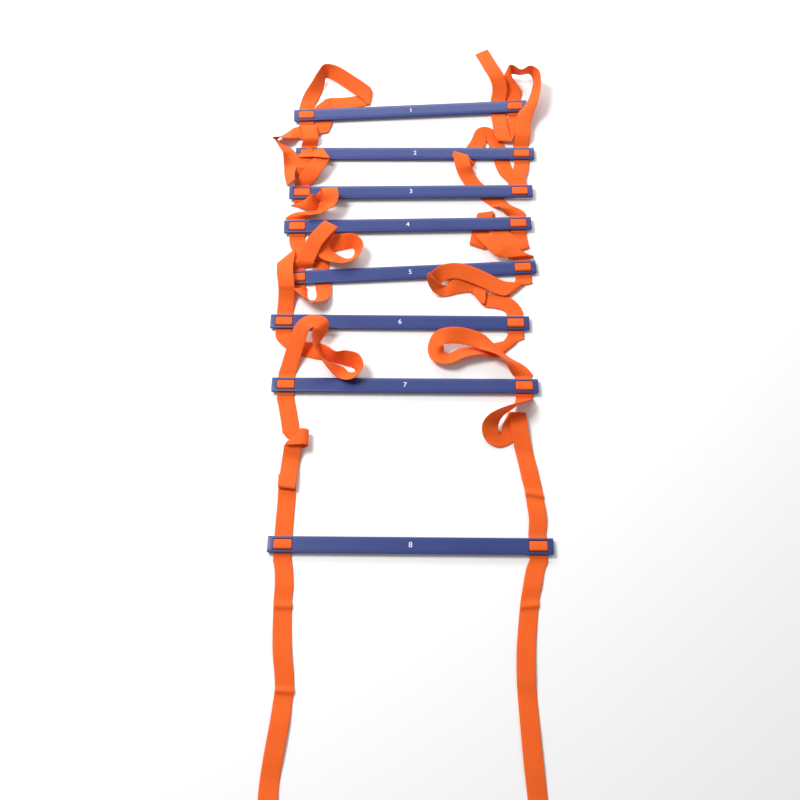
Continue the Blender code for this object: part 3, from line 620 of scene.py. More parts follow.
RUNG_PLACES = {
    1: RungPlace(410.9, 110.2, 0.200, 3.1, 0.0),
    2: RungPlace(415.0, 153.0, 0.132, 0.0, 0.0),
    3: RungPlace(411.0, 191.3, 0.220, 0.5, 0.0),
    4: RungPlace(407.8, 224.4, 0.200, 1.0, 0.0),
    5: RungPlace(410.2, 271.9, 0.132, 3.0, 0.0),
    6: RungPlace(399.9, 321.7, 0.132, -0.5, 0.0),
    7: RungPlace(405.0, 385.2, 0.110, -0.4, -4.0),
    8: RungPlace(410.5, 545.2, 0.090, -0.5, -3.0),
}


class Wire:
    """A shader or geometry socket that arithmetic works on."""

    def __init__(self, graph: "Graph", socket: bpy.types.NodeSocket) -> None:
        """Keep the graph that new Math nodes go into, and the socket."""
        self.graph = graph
        self.socket = socket

    def _math(self, operation: str, first: Any, second: Any) -> "Wire":
        """Add a Math node for two values, either of which may be a plain number."""
        return self.graph.node("ShaderNodeMath", {"operation": operation}, {0: first, 1: second})[0]

    def __add__(self, other: Any) -> "Wire":
        """Self plus other."""
        return self._math("ADD", self, other)

    def __radd__(self, other: Any) -> "Wire":
        """Other plus self."""
        return self._math("ADD", other, self)

    def __sub__(self, other: Any) -> "Wire":
        """Self minus other."""
        return self._math("SUBTRACT", self, other)

    def __rsub__(self, other: Any) -> "Wire":
        """Other minus self."""
        return self._math("SUBTRACT", other, self)

    def __mul__(self, other: Any) -> "Wire":
        """Self times other."""
        return self._math("MULTIPLY", self, other)

    def __rmul__(self, other: Any) -> "Wire":
        """Other times self."""
        return self._math("MULTIPLY", other, self)

    def __truediv__(self, other: Any) -> "Wire":
        """Self over other."""
        return self._math("DIVIDE", self, other)

    def __rtruediv__(self, other: Any) -> "Wire":
        """Other over self."""
        return self._math("DIVIDE", other, self)

    def __pow__(self, other: Any) -> "Wire":
        """Self to the power of other."""
        return self._math("POWER", self, other)

    def __rpow__(self, other: Any) -> "Wire":
        """Other to the power of self."""
        return self._math("POWER", other, self)

    def sine(self) -> "Wire":
        """Sine of self in radians."""
        return self._math("SINE", self, 0.0)

    def absolute(self) -> "Wire":
        """Self without its sign."""
        return self._math("ABSOLUTE", self, 0.0)

    def floor(self) -> "Wire":
        """Self rounded down."""
        return self._math("FLOOR", self, 0.0)


class Graph:
    """A node tree that is built by one method."""

    def __init__(self, tree: bpy.types.NodeTree) -> None:
        """Keep the tree that nodes go into."""
        self.tree = tree

    def node(self, kind: str, settings: dict[str, Any], values: dict[Any, Any]) -> list[Wire]:
        """Add a node, set it up and fill its sockets.

        Args:
            kind: The node's type.
            settings: Its settings, which are set first.
            values: Its sockets' values, or the wires that feed them, by socket name or number.

        Returns:
            A wire from each of its outputs.
        """
        made = self.tree.nodes.new(kind)
        for name, value in settings.items():
            setattr(made, name, value)
        for name, value in values.items():
            self.feed(made.inputs[name], value)
        return [Wire(self, socket) for socket in made.outputs]

    def feed(self, socket: bpy.types.NodeSocket, value: Any) -> None:
        """Link a wire to a socket, or set the socket's own value.

        Args:
            socket: The socket.
            value: The wire or the plain value.
        """
        if isinstance(value, Wire):
            self.tree.links.new(value.socket, socket)
        else:
            socket.default_value = value

    def mix(self, share: Any, first: Any, second: Any) -> Wire:
        """Mix two colours by a share. Inputs 6 and 7 and output 2 are the node's own for colours."""
        values = {0: share, 6: first, 7: second}
        return self.node("ShaderNodeMix", {"data_type": "RGBA"}, values)[2]


class Surface(Graph):
    """A new material with one Principled shader."""

    def __init__(self, name: str, **values: Any) -> None:
        """Make the material and set its shader's plain values.

        Args:
            name: The material's name.
            **values: Values of the shader's sockets, with spaces as underscores.
        """
        self.material = bpy.data.materials.new(name)
        self.material.use_nodes = True
        super().__init__(self.material.node_tree)
        self.shader = self.tree.nodes["Principled BSDF"]
        for key, value in values.items():
            self.dress(key.replace("_", " "), value)

    def dress(self, socket: str, value: Any) -> None:
        """Set or feed a socket of the shader."""
        self.feed(self.shader.inputs[socket], value)

    def bump(self, height: Wire, distance: float, strength: float) -> None:
        """Feed the shader's normal from a height in shares of a distance in metres."""
        values = {"Height": height, "Distance": distance, "Strength": strength}
        self.dress("Normal", self.node("ShaderNodeBump", {}, values)[0])

    def place(self) -> Wire:
        """The point on the piece, in its own coordinates, which output 3 gives."""
        return self.node("ShaderNodeTexCoord", {}, {})[3]

    def noise(self, vector: Wire, scale: float, detail: float) -> Wire:
        """Smooth noise from 0 to 1."""
        values = {"Vector": vector, "Scale": scale, "Detail": detail}
        return self.node("ShaderNodeTexNoise", {}, values)[0]


@dataclass(frozen=True)
class MouldedPlastic:
    """Satin injection-moulded plastic with a fine grain."""

    name: str = "rung_plastic"
    colour: Colour = (0.017, 0.032, 0.158, 1.0)
    worn_colour: Colour = (0.024, 0.041, 0.184, 1.0)
    specular: float = 0.4
    roughness: float = 0.36
    roughness_spread: float = 0.10
    cloud_scale: float = 14
    cloud_detail: float = 3
    grain_scale: float = 1900
    grain_detail: float = 2
    grain_depth: float = 0.00003
    grain_strength: float = 0.6

    def material(self) -> bpy.types.Material:
        """Build the material.

        Returns:
            The material, a little paler and rougher in soft clouds.
        """
        surface = Surface(self.name, Specular_IOR_Level=self.specular)
        place = surface.place()
        cloud = surface.noise(place, self.cloud_scale, self.cloud_detail)
        grain = surface.noise(place, self.grain_scale, self.grain_detail)
        surface.dress("Base Color", surface.mix(cloud, self.colour, self.worn_colour))
        surface.dress("Roughness", self.roughness + (cloud - 0.5) * self.roughness_spread)
        surface.bump(grain, self.grain_depth, self.grain_strength)
        return surface.material


@dataclass(frozen=True)
class WovenNylon:
    """Flat woven webbing: lengthwise wales of warp, crossed by picks that step from wale to wale."""

    name: str = "webbing"
    crest: Colour = (0.97, 0.170, 0.018, 1.0)
    # Painted shade: the colour of the weave's valleys, darker than its crests
    valley_shade: Colour = (0.76, 0.072, 0.007, 1.0)
    specular: float = 0.2
    sheen: float = 0.06
    roughness: float = 0.72
    wale_pitch: float = 0.0025
    wale_power: float = 0.6
    pick_pitch: float = 0.0022
    pick_share: float = 0.55
    depth: float = 0.00035
    strength: float = 0.7
    cloud_scale: float = 30
    cloud_detail: float = 2
    cloud_share: float = 0.25

    def material(self) -> bpy.types.Material:
        """Build the material. The weave follows the strap's UV map, which is in metres.

        Returns:
            The material, with painted shade darker between the wales and picks and uneven tone in soft
            clouds.
        """
        surface = Surface(
            self.name,
            Roughness=self.roughness,
            Sheen_Weight=self.sheen,
            Specular_IOR_Level=self.specular,
        )
        flat = surface.node("ShaderNodeUVMap", {"uv_map": "weave"}, {})[0]
        across, along, _ = surface.node("ShaderNodeSeparateXYZ", {}, {0: flat})
        wale = (across * (math.pi / self.wale_pitch)).sine().absolute()
        step = (across / self.wale_pitch).floor() * math.pi
        pick = 0.5 + 0.5 * (along * (2 * math.pi / self.pick_pitch) + step).sine()
        height = wale**self.wale_power * ((1 - self.pick_share) + self.pick_share * pick)
        cloud = surface.noise(surface.place(), self.cloud_scale, self.cloud_detail)
        # Painted shade in the weave's valleys, mixed with random tone from the soft clouds
        shade_and_tone = height * (1 - self.cloud_share) + cloud * self.cloud_share
        surface.dress("Base Color", surface.mix(shade_and_tone, self.valley_shade, self.crest))
        surface.bump(height, self.depth, self.strength)
        return surface.material


@dataclass(frozen=True)
class PlainFinish:
    """A plain even finish."""

    name: str
    colour: Colour
    roughness: float

    def material(self) -> bpy.types.Material:
        """Build the material."""
        return Surface(self.name, Base_Color=self.colour, Roughness=self.roughness).material


PRINT = PlainFinish("rung_print", colour=(0.82, 0.83, 0.85, 1.0), roughness=0.5)
SEALED_END = PlainFinish("sealed_webbing_end", colour=(0.42, 0.045, 0.008, 1.0), roughness=0.35)
FLOOR = PlainFinish("studio_floor", colour=(0.93, 0.93, 0.93, 1.0), roughness=0.9)


def link(name: str, mesh: bpy.types.Mesh, material: bpy.types.Material | None) -> bpy.types.Object:
    """Make an object of a mesh and dress it.

    Args:
        name: The object's name.
        mesh: Its mesh, already in its place.
        material: Its material, or None where the mesh has one.

    Returns:
        The new object.
    """
    piece = into_scene(name, mesh)
    mesh.name = name
    if material:
        mesh.materials.clear()
        mesh.materials.append(material)
    return piece


def frozen_mesh(source: bpy.types.Object, place: Matrix) -> bpy.types.Mesh:
    """Turn an object and its modifiers into a plain mesh in its place, and delete the object.

    Args:
        source: The object.
        place: Where the mesh goes.

    Returns:
        The mesh.
    """
    graph = bpy.context.evaluated_depsgraph_get()
    mesh = bpy.data.meshes.new_from_object(source.evaluated_get(graph))
    mesh.transform(place)
    bpy.data.objects.remove(source, do_unlink=True)
    return mesh


def shade(mesh: bpy.types.Mesh, sharp_deg: float) -> None:
    """Shade a mesh smooth, except over edges sharper than an angle in degrees."""
    mesh.shade_smooth()
    mesh.set_sharp_from_angle(angle=math.radians(sharp_deg))


def direction(heading: float, lean: float) -> Vector:
    """A unit vector from its heading seen from above and its lean over the floor, in degrees."""
    turn, rise = math.radians(heading), math.radians(lean)
    return Vector((math.cos(turn) * math.cos(rise), math.sin(turn) * math.cos(rise), math.sin(rise)))


def spline_point(points: list[Vector], index: int, share: float) -> Vector:
    """Find a point on a smooth curve through a row of vectors, with chord-root knots.

    Args:
        points: The row.
        index: The vector that the span starts at.
        share: How far along the span, from 0 to 1.

    Returns:
        The point.
    """
    last = len(points) - 1
    p1, p2 = points[index], points[index + 1]
    p0 = points[index - 1] if index else p1 * 2 - p2
    p3 = points[index + 2] if index + 2 <= last else p2 * 2 - p1
    row = [p0, p1, p2, p3]
    knots = [0.0]
    for before, after in zip(row, row[1:]):
        knots.append(knots[-1] + math.sqrt(max((after - before).length, WebSizes().clearance)))
    here = knots[1] + (knots[2] - knots[1]) * share

    def blend(first: Vector, second: Vector, low: float, high: float) -> Vector:
        """Blend two vectors by where the point lies between two knots."""
        return (first * (high - here) + second * (here - low)) / (high - low)

    ends = [blend(row[i], row[i + 1], knots[i], knots[i + 1]) for i in range(3)]
    middles = [blend(ends[i], ends[i + 1], knots[i], knots[i + 2]) for i in range(2)]
    return blend(middles[0], middles[1], knots[1], knots[2])


def smooth_row(points: list[Vector], steps: int) -> list[Vector]:
    """Find points of a smooth curve through a row of vectors.

    Args:
        points: The row.
        steps: Points to each span.

    Returns:
        The points, the row's own among them.
    """
    row = []
    for index in range(len(points) - 1):
        row += [spline_point(points, index, step / steps) for step in range(steps)]
    return row + [points[-1]]


def walk(lines: list[Line]) -> list[tuple[Line, Vector, float]]:
    """Walk along a strap.

    Args:
        lines: The strap's lines.

    Returns:
        Each line, with the strap's normal there and the distance from the strap's start.
    """
    steps = []
    along, last = 0.0, len(lines) - 1
    for index, line in enumerate(lines):
        before, after = lines[max(index - 1, 0)].middle, lines[min(index + 1, last)].middle
        along += (line.middle - before).length
        steps.append((line, (after - before).cross(line.half).normalized(), along))
    return steps


@dataclass
class StrapPath:
    """The way of both straps through the rungs: feet, creases and the lines across the webbing."""

    view: PhotoView
    rungs: dict[int, Matrix]
    sizes: RungSizes = RungSizes()
    steps: int = 3

    @property
    def web(self) -> WebSizes:
        """The webbing's sizes."""
        return self.sizes.web

    def foot(self, number: int, side: int, end: int) -> Foot:
        """Find where the webbing of a rung meets the floor.

        Args:
            number: The rung.
            side: LEFT or RIGHT.
            end: NEAR or FAR.

        Returns:
            The foot.
        """
        place = self.rungs[number]
        lined = place.to_3x3() @ Vector((1, 0, 0))
        lined.z = 0
        lined.normalize()
        outward = Vector((-lined.y, lined.x, 0)) * end
        middle = place @ Vector((side * self.sizes.slot_middle, end * self.sizes.width / 2, 0))
        middle += outward * (self.web.edge_reach + self.web.foot_run)
        middle.z = self.web.thickness / 2
        if (number, side) == TURNED_BACK and end == FAR:
            middle.z += self.web.thickness + self.web.layer_gap
        elif (number, side) == TURNED_BACK:
            outward = -outward
            middle = place @ Vector((side * self.sizes.slot_middle, -self.sizes.slot_offset, 0))
            middle += outward * self.web.turn_run
            middle.z = self.web.thickness / 2
        return Foot(middle, outward, lined)

    def floor_height(self, half: Vector) -> float:
        """The least height of the middle of a line that keeps the strap over the floor."""
        return abs(half.z) + self.web.thickness / 2

    def fold_rows(self, before: Vector, middle: Vector, after: Vector, across: Vector) -> list[Vector]:
        """Find the bend of a crease: three middles about a small cylinder that lies along it.

        Args:
            before: The middle before the crease.
            middle: The crease's own middle.
            after: The middle after it.
            across: The crease's direction.

        Returns:
            The three middles.
        """
        across = across.normalized()
        out = middle - before
        out = (out - across * out.dot(across)).normalized()
        up = after - middle
        up = (up - across * up.dot(across) - out * up.dot(out)).normalized()
        radius = self.web.fold_radius
        return [middle, middle + (out + up) * radius, middle + up * 2 * radius]

    def free_lines(self, start: Foot, route: Route, finish: Foot | None) -> list[Line]:
        """Find the lines across a free stretch of webbing.

        Args:
            start: The foot it starts at.
            route: Its table.
            finish: The foot it ends at, or None for a tail.

        Returns:
            The lines, before the layers are settled.
        """
        reaches = (self.web.clearance, self.web.edge_reach)
        middles = [start.middle + start.outward * reach for reach in reaches]
        acrosses = [start.lined] * 2
        creased = [False] * 2
        for pixel_x, pixel_y, lift_share, heading, lean, *mark in route:
            middles.append(self.view.seen(pixel_x, pixel_y, lift_share * self.web.width))
            acrosses.append(direction(heading, lean))
            creased.append(FOLD in mark)
        if finish:
            lined = finish.lined if acrosses[-1].dot(finish.lined) >= 0 else -finish.lined
            middles += [finish.middle + finish.outward * reach for reach in reversed(reaches)]
            acrosses += [lined] * 2
            creased += [False] * 2
        bent_middles, bent_acrosses = [], []
        for index, (middle, across) in enumerate(zip(middles, acrosses)):
            row = [middle]
            if creased[index]:
                row = self.fold_rows(middles[index - 1], middle, middles[index + 1], across)
            bent_middles += row
            bent_acrosses += [across] * len(row)
        return self.rulings(smooth_row(bent_middles, self.steps), smooth_row(bent_acrosses, self.steps))

    def rulings(self, middles: list[Vector], acrosses: list[Vector]) -> list[Line]:
        """Give each line across the strap such a length that the strap keeps its width.

        Args:
            middles: Middle of each line.
            acrosses: Direction of each line.

        Returns:
            The lines.
        """
        lines = []
        last = len(middles) - 1
        for index, (middle, across) in enumerate(zip(middles, acrosses)):
            run = (middles[min(index + 1, last)] - middles[max(index - 1, 0)]).normalized()
            across = across.normalized()
            skew = max(run.cross(across).length, self.web.skew_limit_share)
            half = across * self.web.width / (2 * skew)
            height = max(middle.z, self.floor_height(half))
            lines.append(Line(Vector((middle.x, middle.y, height)), half))
        return lines

    def threaded_lines(self, number: int, side: int) -> list[Line]:
        """Find the lines through a rung's slots: under an edge, up, over the bar, down and out.

        Args:
            number: The rung.
            side: LEFT or RIGHT.

        Returns:
            The lines, from the far foot to the near one.
        """
        place, web, sizes = self.rungs[number], self.web, self.sizes
        half = place.to_3x3() @ Vector((web.width / 2, 0, 0))
        under = -web.clearance - web.thickness / 2
        over = sizes.thickness + web.clearance + web.thickness / 2
        way_in = [(sizes.width / 2 + web.edge_reach, under), (sizes.slot_offset + web.slot_lean, under)]
        way_up = [(sizes.slot_offset - web.slot_lean, over)]
        way_down = [(-y, z) for y, z in way_up]
        way_out = [(-y, z) for y, z in reversed(way_in)]
        if (number, side) == TURNED_BACK:
            last_y = web.slot_lean - sizes.slot_offset
            way_out = [(-sizes.slot_offset - web.slot_lean / 2, under), (last_y, 2 * under)]
        section = way_in + way_up + way_down + way_out
        lines = [Line(place @ Vector((side * sizes.slot_middle, y, z)), half) for y, z in section]
        if (number, side) == TURNED_BACK:
            lines[-1].middle.z = web.thickness / 2
        start, finish = [], []
        for end, row in ((FAR, start), (NEAR, finish)):
            foot = self.foot(number, side, end)
            for reach in (0, web.edge_reach):
                row.append(Line(foot.middle - foot.outward * reach, foot.lined * web.width / 2))
        return start + lines + finish[::-1]


class Sample(NamedTuple):
    """A point over a strap or rung, for finding which layers lie over each other.

    It knows its line and its rise over that line's middle, the slope of the surface there and the
    upright share of its normal, whose surface it is and its distance along that strap.
    """

    point: Vector
    line: int
    rise: float
    slope: tuple[float, float]
    steep: float
    owner: str
    along: float


@dataclass
class Layers:
    """Lifts the free webbing until each layer clears those that it crosses.

    Every line and rung has a height, a least height over the floor and whether it may move. In the last
    rounds the lifts no longer spread along the straps.
    """

    path: StrapPath
    across_samples: int = 7
    rung_samples: tuple[int, int] = (120, 9)
    rounds: int = 260
    last_rounds: int = 60
    slope_limit_share: float = 0.45
    samples: list[Sample] = field(default_factory=list)
    heights: list[float] = field(default_factory=list)
    floors: list[float] = field(default_factory=list)
    movable: list[bool] = field(default_factory=list)
    spans: dict[str, tuple[int, int]] = field(default_factory=dict)

    def add_strap(self, name: str, lines: list[Line], put: tuple[int, int]) -> None:
        """Add a strap's lines and sample points.

        Args:
            name: The strap's name.
            lines: Its lines.
            put: How many of them stay put at its start and at its end.
        """
        first = len(self.heights)
        self.spans[name] = (first, first + len(lines))
        for index, (line, normal, along) in enumerate(walk(lines), start=first):
            steep = math.copysign(max(abs(normal.z), self.slope_limit_share), normal.z or 1)
            slope = (-normal.x / steep, -normal.y / steep)
            for step in range(self.across_samples):
                share = 2 * step / (self.across_samples - 1) - 1
                place, rise = line.middle + line.half * share, line.half.z * share
                self.samples.append(Sample(place, index, rise, slope, abs(steep), name, along))
        self.heights += [line.middle.z for line in lines]
        self.floors += [self.path.floor_height(line.half) for line in lines]
        self.movable += [put[0] <= index < len(lines) - put[1] for index in range(len(lines))]

    def add_rung(self, number: int) -> None:
        """Add sample points over both faces of a rung.

        Args:
            number: The rung.
        """
        place, sizes = self.path.rungs[number], self.path.sizes
        name, line = f"rung_{number}", len(self.heights)
        along, across = self.rung_samples
        level = place.translation.z + sizes.thickness / 2
        for step_x in range(along):
            for step_y in range(across):
                x = (step_x / (along - 1) - 0.5) * sizes.length
                y = (step_y / (across - 1) - 0.5) * sizes.width
                for face in (0, sizes.thickness):
                    point = place @ Vector((x, y, face))
                    rise = point.z - level
                    self.samples.append(Sample(point, line, rise, (0, 0), 1, name, 0))
        self.heights.append(level)
        self.floors.append(0)
        self.movable.append(False)

    def crossings(self) -> tuple[np.ndarray, np.ndarray, np.ndarray]:
        """Find which lines cross and how far apart their middles have to be.

        Returns:
            The upper line, the lower line and the least distance of each crossing.
        """
        web = self.path.web
        tree = KDTree(len(self.samples))
        for index, sample in enumerate(self.samples):
            tree.insert((sample.point.x, sample.point.y, 0), index)
        tree.balance()
        uppers, lowers, gaps = [], [], []
        for index, here in enumerate(self.samples):
            if not self.movable[here.line]:
                continue
            for _, other, _ in tree.find_range((here.point.x, here.point.y, 0), web.layer_reach):
                there = self.samples[other]
                if here.line == there.line or (self.movable[there.line] and other < index):
                    continue
                free_length = web.fold_free_length / min(here.steep, there.steep) ** 2
                if here.owner == there.owner and abs(there.along - here.along) < free_length:
                    continue
                half_step = (there.point.xy - here.point.xy) / 2
                rise_here = here.rise + here.slope[0] * half_step.x + here.slope[1] * half_step.y
                rise_there = there.rise - there.slope[0] * half_step.x - there.slope[1] * half_step.y
                thick = web.thickness / 2 if there.owner.startswith("rung") else web.thickness
                need = thick / min(here.steep, there.steep) + web.layer_gap
                over = self.heights[here.line] > self.heights[there.line]
                uppers.append(here.line if over else there.line)
                lowers.append(there.line if over else here.line)
                gaps.append(need - (rise_here - rise_there) * (1 if over else -1))
        return np.array(uppers), np.array(lowers), np.array(gaps)

    def settle(self) -> np.ndarray:
        """Find each line's settled height.

        Returns:
            The heights, in the order in which lines were added.
        """
        uppers, lowers, gaps = self.crossings()
        start, floors, movable = np.array(self.heights), np.array(self.floors), np.array(self.movable)
        level = start.copy()
        weight = movable[uppers].astype(float) + movable[lowers]
        for turn in range(self.rounds):
            lack = np.maximum(gaps - (level[uppers] - level[lowers]), 0) / weight
            up, down = np.zeros(len(level)), np.zeros(len(level))
            np.maximum.at(up, uppers, lack * movable[uppers])
            np.maximum.at(down, lowers, lack * movable[lowers])
            level += up - down
            level = np.where(movable, np.maximum(level, floors), level)
            if turn < self.rounds - self.last_rounds:
                shift = level - start
                # Each lift spreads along its strap, so that no line stands up alone
                for first, last in self.spans.values():
                    part = shift[first:last].copy()
                    part[1:-1] = part[1:-1] / 2 + (part[2:] + part[:-2]) / 4
                    shift[first:last] = part
                level = np.where(movable, np.maximum(start + shift, floors), level)
        return level


@dataclass
class StrapSkin:
    """The closed woven body of a strap along its lines, with rounded edges and a UV map in metres.

    Its section has a point on each face at every share of the half width, from edge to edge, and there
    it is as thick as the wall share says.
    """

    web: WebSizes
    shares: tuple[float, ...] = (-1.0, -0.965, -0.90, -0.6, -0.2, 0.2, 0.6, 0.90, 0.965, 1.0)
    wall_shares: tuple[float, ...] = (0.40, 0.80, 1.0, 0.97, 0.97, 0.97, 0.97, 1.0, 0.80, 0.40)
    corner_share: float = 0.48
    sharp_deg: float = 60

    def finer(self, lines: list[Line], steps: int) -> list[Line]:
        """Put more lines between a strap's own, on smooth curves.

        Args:
            lines: The strap's lines.
            steps: Lines from each of them to the next.

        Returns:
            The lines, the strap's own among them.
        """
        middles = smooth_row([line.middle for line in lines], steps)
        halves = smooth_row([line.half for line in lines], steps)
        return [Line(middle, half) for middle, half in zip(middles, halves)]

    def rounded(self, lines: list[Line], steps: int) -> list[Line]:
        """Round the corners of a strap that is bent tight.

        Args:
            lines: The strap's lines.
            steps: Lines to each corner.

        Returns:
            The lines with every corner on a curve.
        """
        row = [lines[0]]
        for before, corner, after in zip(lines, lines[1:], lines[2:]):
            back, ahead = before.middle - corner.middle, after.middle - corner.middle
            room = self.corner_share * min(back.length, ahead.length)
            reach = min(self.web.bend_radius, room)
            start = corner.middle + back.normalized() * reach
            finish = corner.middle + ahead.normalized() * reach
            for step in range(steps):
                share = step / (steps - 1)
                rest = 1 - share
                middle = start * rest**2 + corner.middle * 2 * share * rest + finish * share**2
                row.append(Line(middle, corner.half))
        return row + [lines[-1]]

    def mesh(self, name: str, lines: list[Line]) -> bpy.types.Mesh:
        """Build the body.

        Args:
            name: The mesh's name.
            lines: The strap's lines, close together.

        Returns:
            The mesh.
        """
        ring = 2 * len(self.shares)
        points, flats = [], []
        rows = list(zip(self.shares, self.wall_shares))
        for (middle, half), normal, along in walk(lines):
            for face, stations in ((1, rows), (-1, reversed(rows))):
                for share, wall in stations:
                    proud = face * wall * self.web.thickness / 2
                    points.append(middle + half * share + normal * proud)
                    flats.append(((share + 1) / 2 * self.web.width, along))
        faces = []
        last = len(lines) - 1
        for row in range(last):
            for step in range(ring):
                a, b = row * ring + step, row * ring + (step + 1) % ring
                faces.append((a, b, b + ring, a + ring))
        for row in (0, last):
            base = row * ring
            for step in range(len(self.shares) - 1):
                a, b = base + step, base + ring - 1 - step
                faces.append((a, a + 1, b - 1, b))
        mesh = bpy.data.meshes.new(name)
        mesh.from_pydata(points, [], faces)
        layer = mesh.uv_layers.new(name="weave")
        for loop in mesh.loops:
            layer.data[loop.index].uv = flats[loop.vertex_index]
        shape = bmesh.new()
        shape.from_mesh(mesh)
        bmesh.ops.recalc_face_normals(shape, faces=shape.faces)
        shape.to_mesh(mesh)
        shape.free()
        shade(mesh, self.sharp_deg)
        return mesh

    def edge_mesh(self, name: str, lines: list[Line]) -> bpy.types.Mesh:
        """Lay two rows of edges along the strap's own edges, for the selvage to follow.

        Args:
            name: The mesh's name.
            lines: The strap's lines.

        Returns:
            The mesh, which has no faces.
        """
        count = len(lines)
        points = [line.middle + line.half * side for side in (-1, 1) for line in lines]
        edges = [(base + i, base + i + 1) for base in (0, count) for i in range(count - 1)]
        mesh = bpy.data.meshes.new(name)
        mesh.from_pydata(points, edges, [])
        return mesh


@dataclass
class Selvage:
    """The turned picks along a strap's edges, one small loop of yarn after another."""

    material: bpy.types.Material
    spacing: float = 0.0019
    pick_length: float = 0.0012
    pick_width: float = 0.00052
    least_scale: float = 0.88
    most_scale: float = 1.12
    ball_segments: int = 6
    ball_rings: int = 4

    def __post_init__(self) -> None:
        """Build the tree, once for every strap."""
        self.tree = bpy.data.node_groups.new("selvage_picks", "GeometryNodeTree")
        inputs = {
            "Edges": ("NodeSocketGeometry", None),
            "Spacing": ("NodeSocketFloat", self.spacing),
            "Pick length": ("NodeSocketFloat", self.pick_length),
            "Pick width": ("NodeSocketFloat", self.pick_width),
            "Seed": ("NodeSocketInt", None),
        }
        self.sockets = {name: self._socket(name, *row) for name, row in inputs.items()}
        self.tree.interface.new_socket("Geometry", in_out="OUTPUT", socket_type="NodeSocketGeometry")
        graph = Graph(self.tree)
        edges, spacing, length, width, seed = graph.node("NodeGroupInput", {}, {})[: len(inputs)]
        curve = graph.node("GeometryNodeMeshToCurve", {}, {0: edges})[0]
        stops = {"Curve": curve, "Length": spacing}
        points = graph.node("GeometryNodeResampleCurve", {"mode": "LENGTH"}, stops)[0]
        tangent = graph.node("GeometryNodeInputTangent", {}, {})[0]
        turn = graph.node("FunctionNodeAlignRotationToVector", {"axis": "Z"}, {"Vector": tangent})[0]
        facets = {"Segments": self.ball_segments, "Rings": self.ball_rings, "Radius": 1.0}
        ball = graph.node("GeometryNodeMeshUVSphere", {}, facets)[0]
        size = graph.node("ShaderNodeCombineXYZ", {}, {0: width, 1: width, 2: length / 2})[0]
        # Inputs 2 and 3 and output 1 of Random Value are those for plain numbers
        limits = {2: self.least_scale, 3: self.most_scale, "Seed": seed}
        spread = graph.node("FunctionNodeRandomValue", {"data_type": "FLOAT"}, limits)[1]
        varied = {0: size, "Scale": spread}
        scaled = graph.node("ShaderNodeVectorMath", {"operation": "SCALE"}, varied)[0]
        places = {"Points": points, "Instance": ball, "Rotation": turn, "Scale": scaled}
        picks = graph.node("GeometryNodeInstanceOnPoints", {}, places)[0]
        real = graph.node("GeometryNodeRealizeInstances", {}, {0: picks})[0]
        yarn = {"Geometry": real, "Material": self.material}
        dressed = graph.node("GeometryNodeSetMaterial", {}, yarn)[0]
        graph.node("NodeGroupOutput", {}, {0: dressed})

    def _socket(self, name: str, kind: str, value: float | None) -> str:
        """Add a named input to the tree.

        Args:
            name: The input's name.
            kind: Its socket's type.
            value: Its default value, or None where it has none.

        Returns:
            Its identifier.
        """
        item = self.tree.interface.new_socket(name, in_out="INPUT", socket_type=kind)
        if value is not None:
            item.default_value = value
        return item.identifier

    def piece(self, name: str, edges: bpy.types.Mesh, seed: int) -> bpy.types.Object:
        """Weave the selvage along a strap's edges.

        Args:
            name: The piece's name.
            edges: The strap's edge lines.
            seed: The seed of the picks' small differences.

        Returns:
            The piece, as a plain mesh.
        """
        guide = link(f"{name}_guide", edges, None)
        modifier = guide.modifiers.new("selvage", "NODES")
        modifier.node_group = self.tree
        modifier[self.sockets["Seed"]] = seed
        mesh = frozen_mesh(guide, Matrix.Identity(4))
        mesh.shade_smooth()
        return link(name, mesh, self.material)


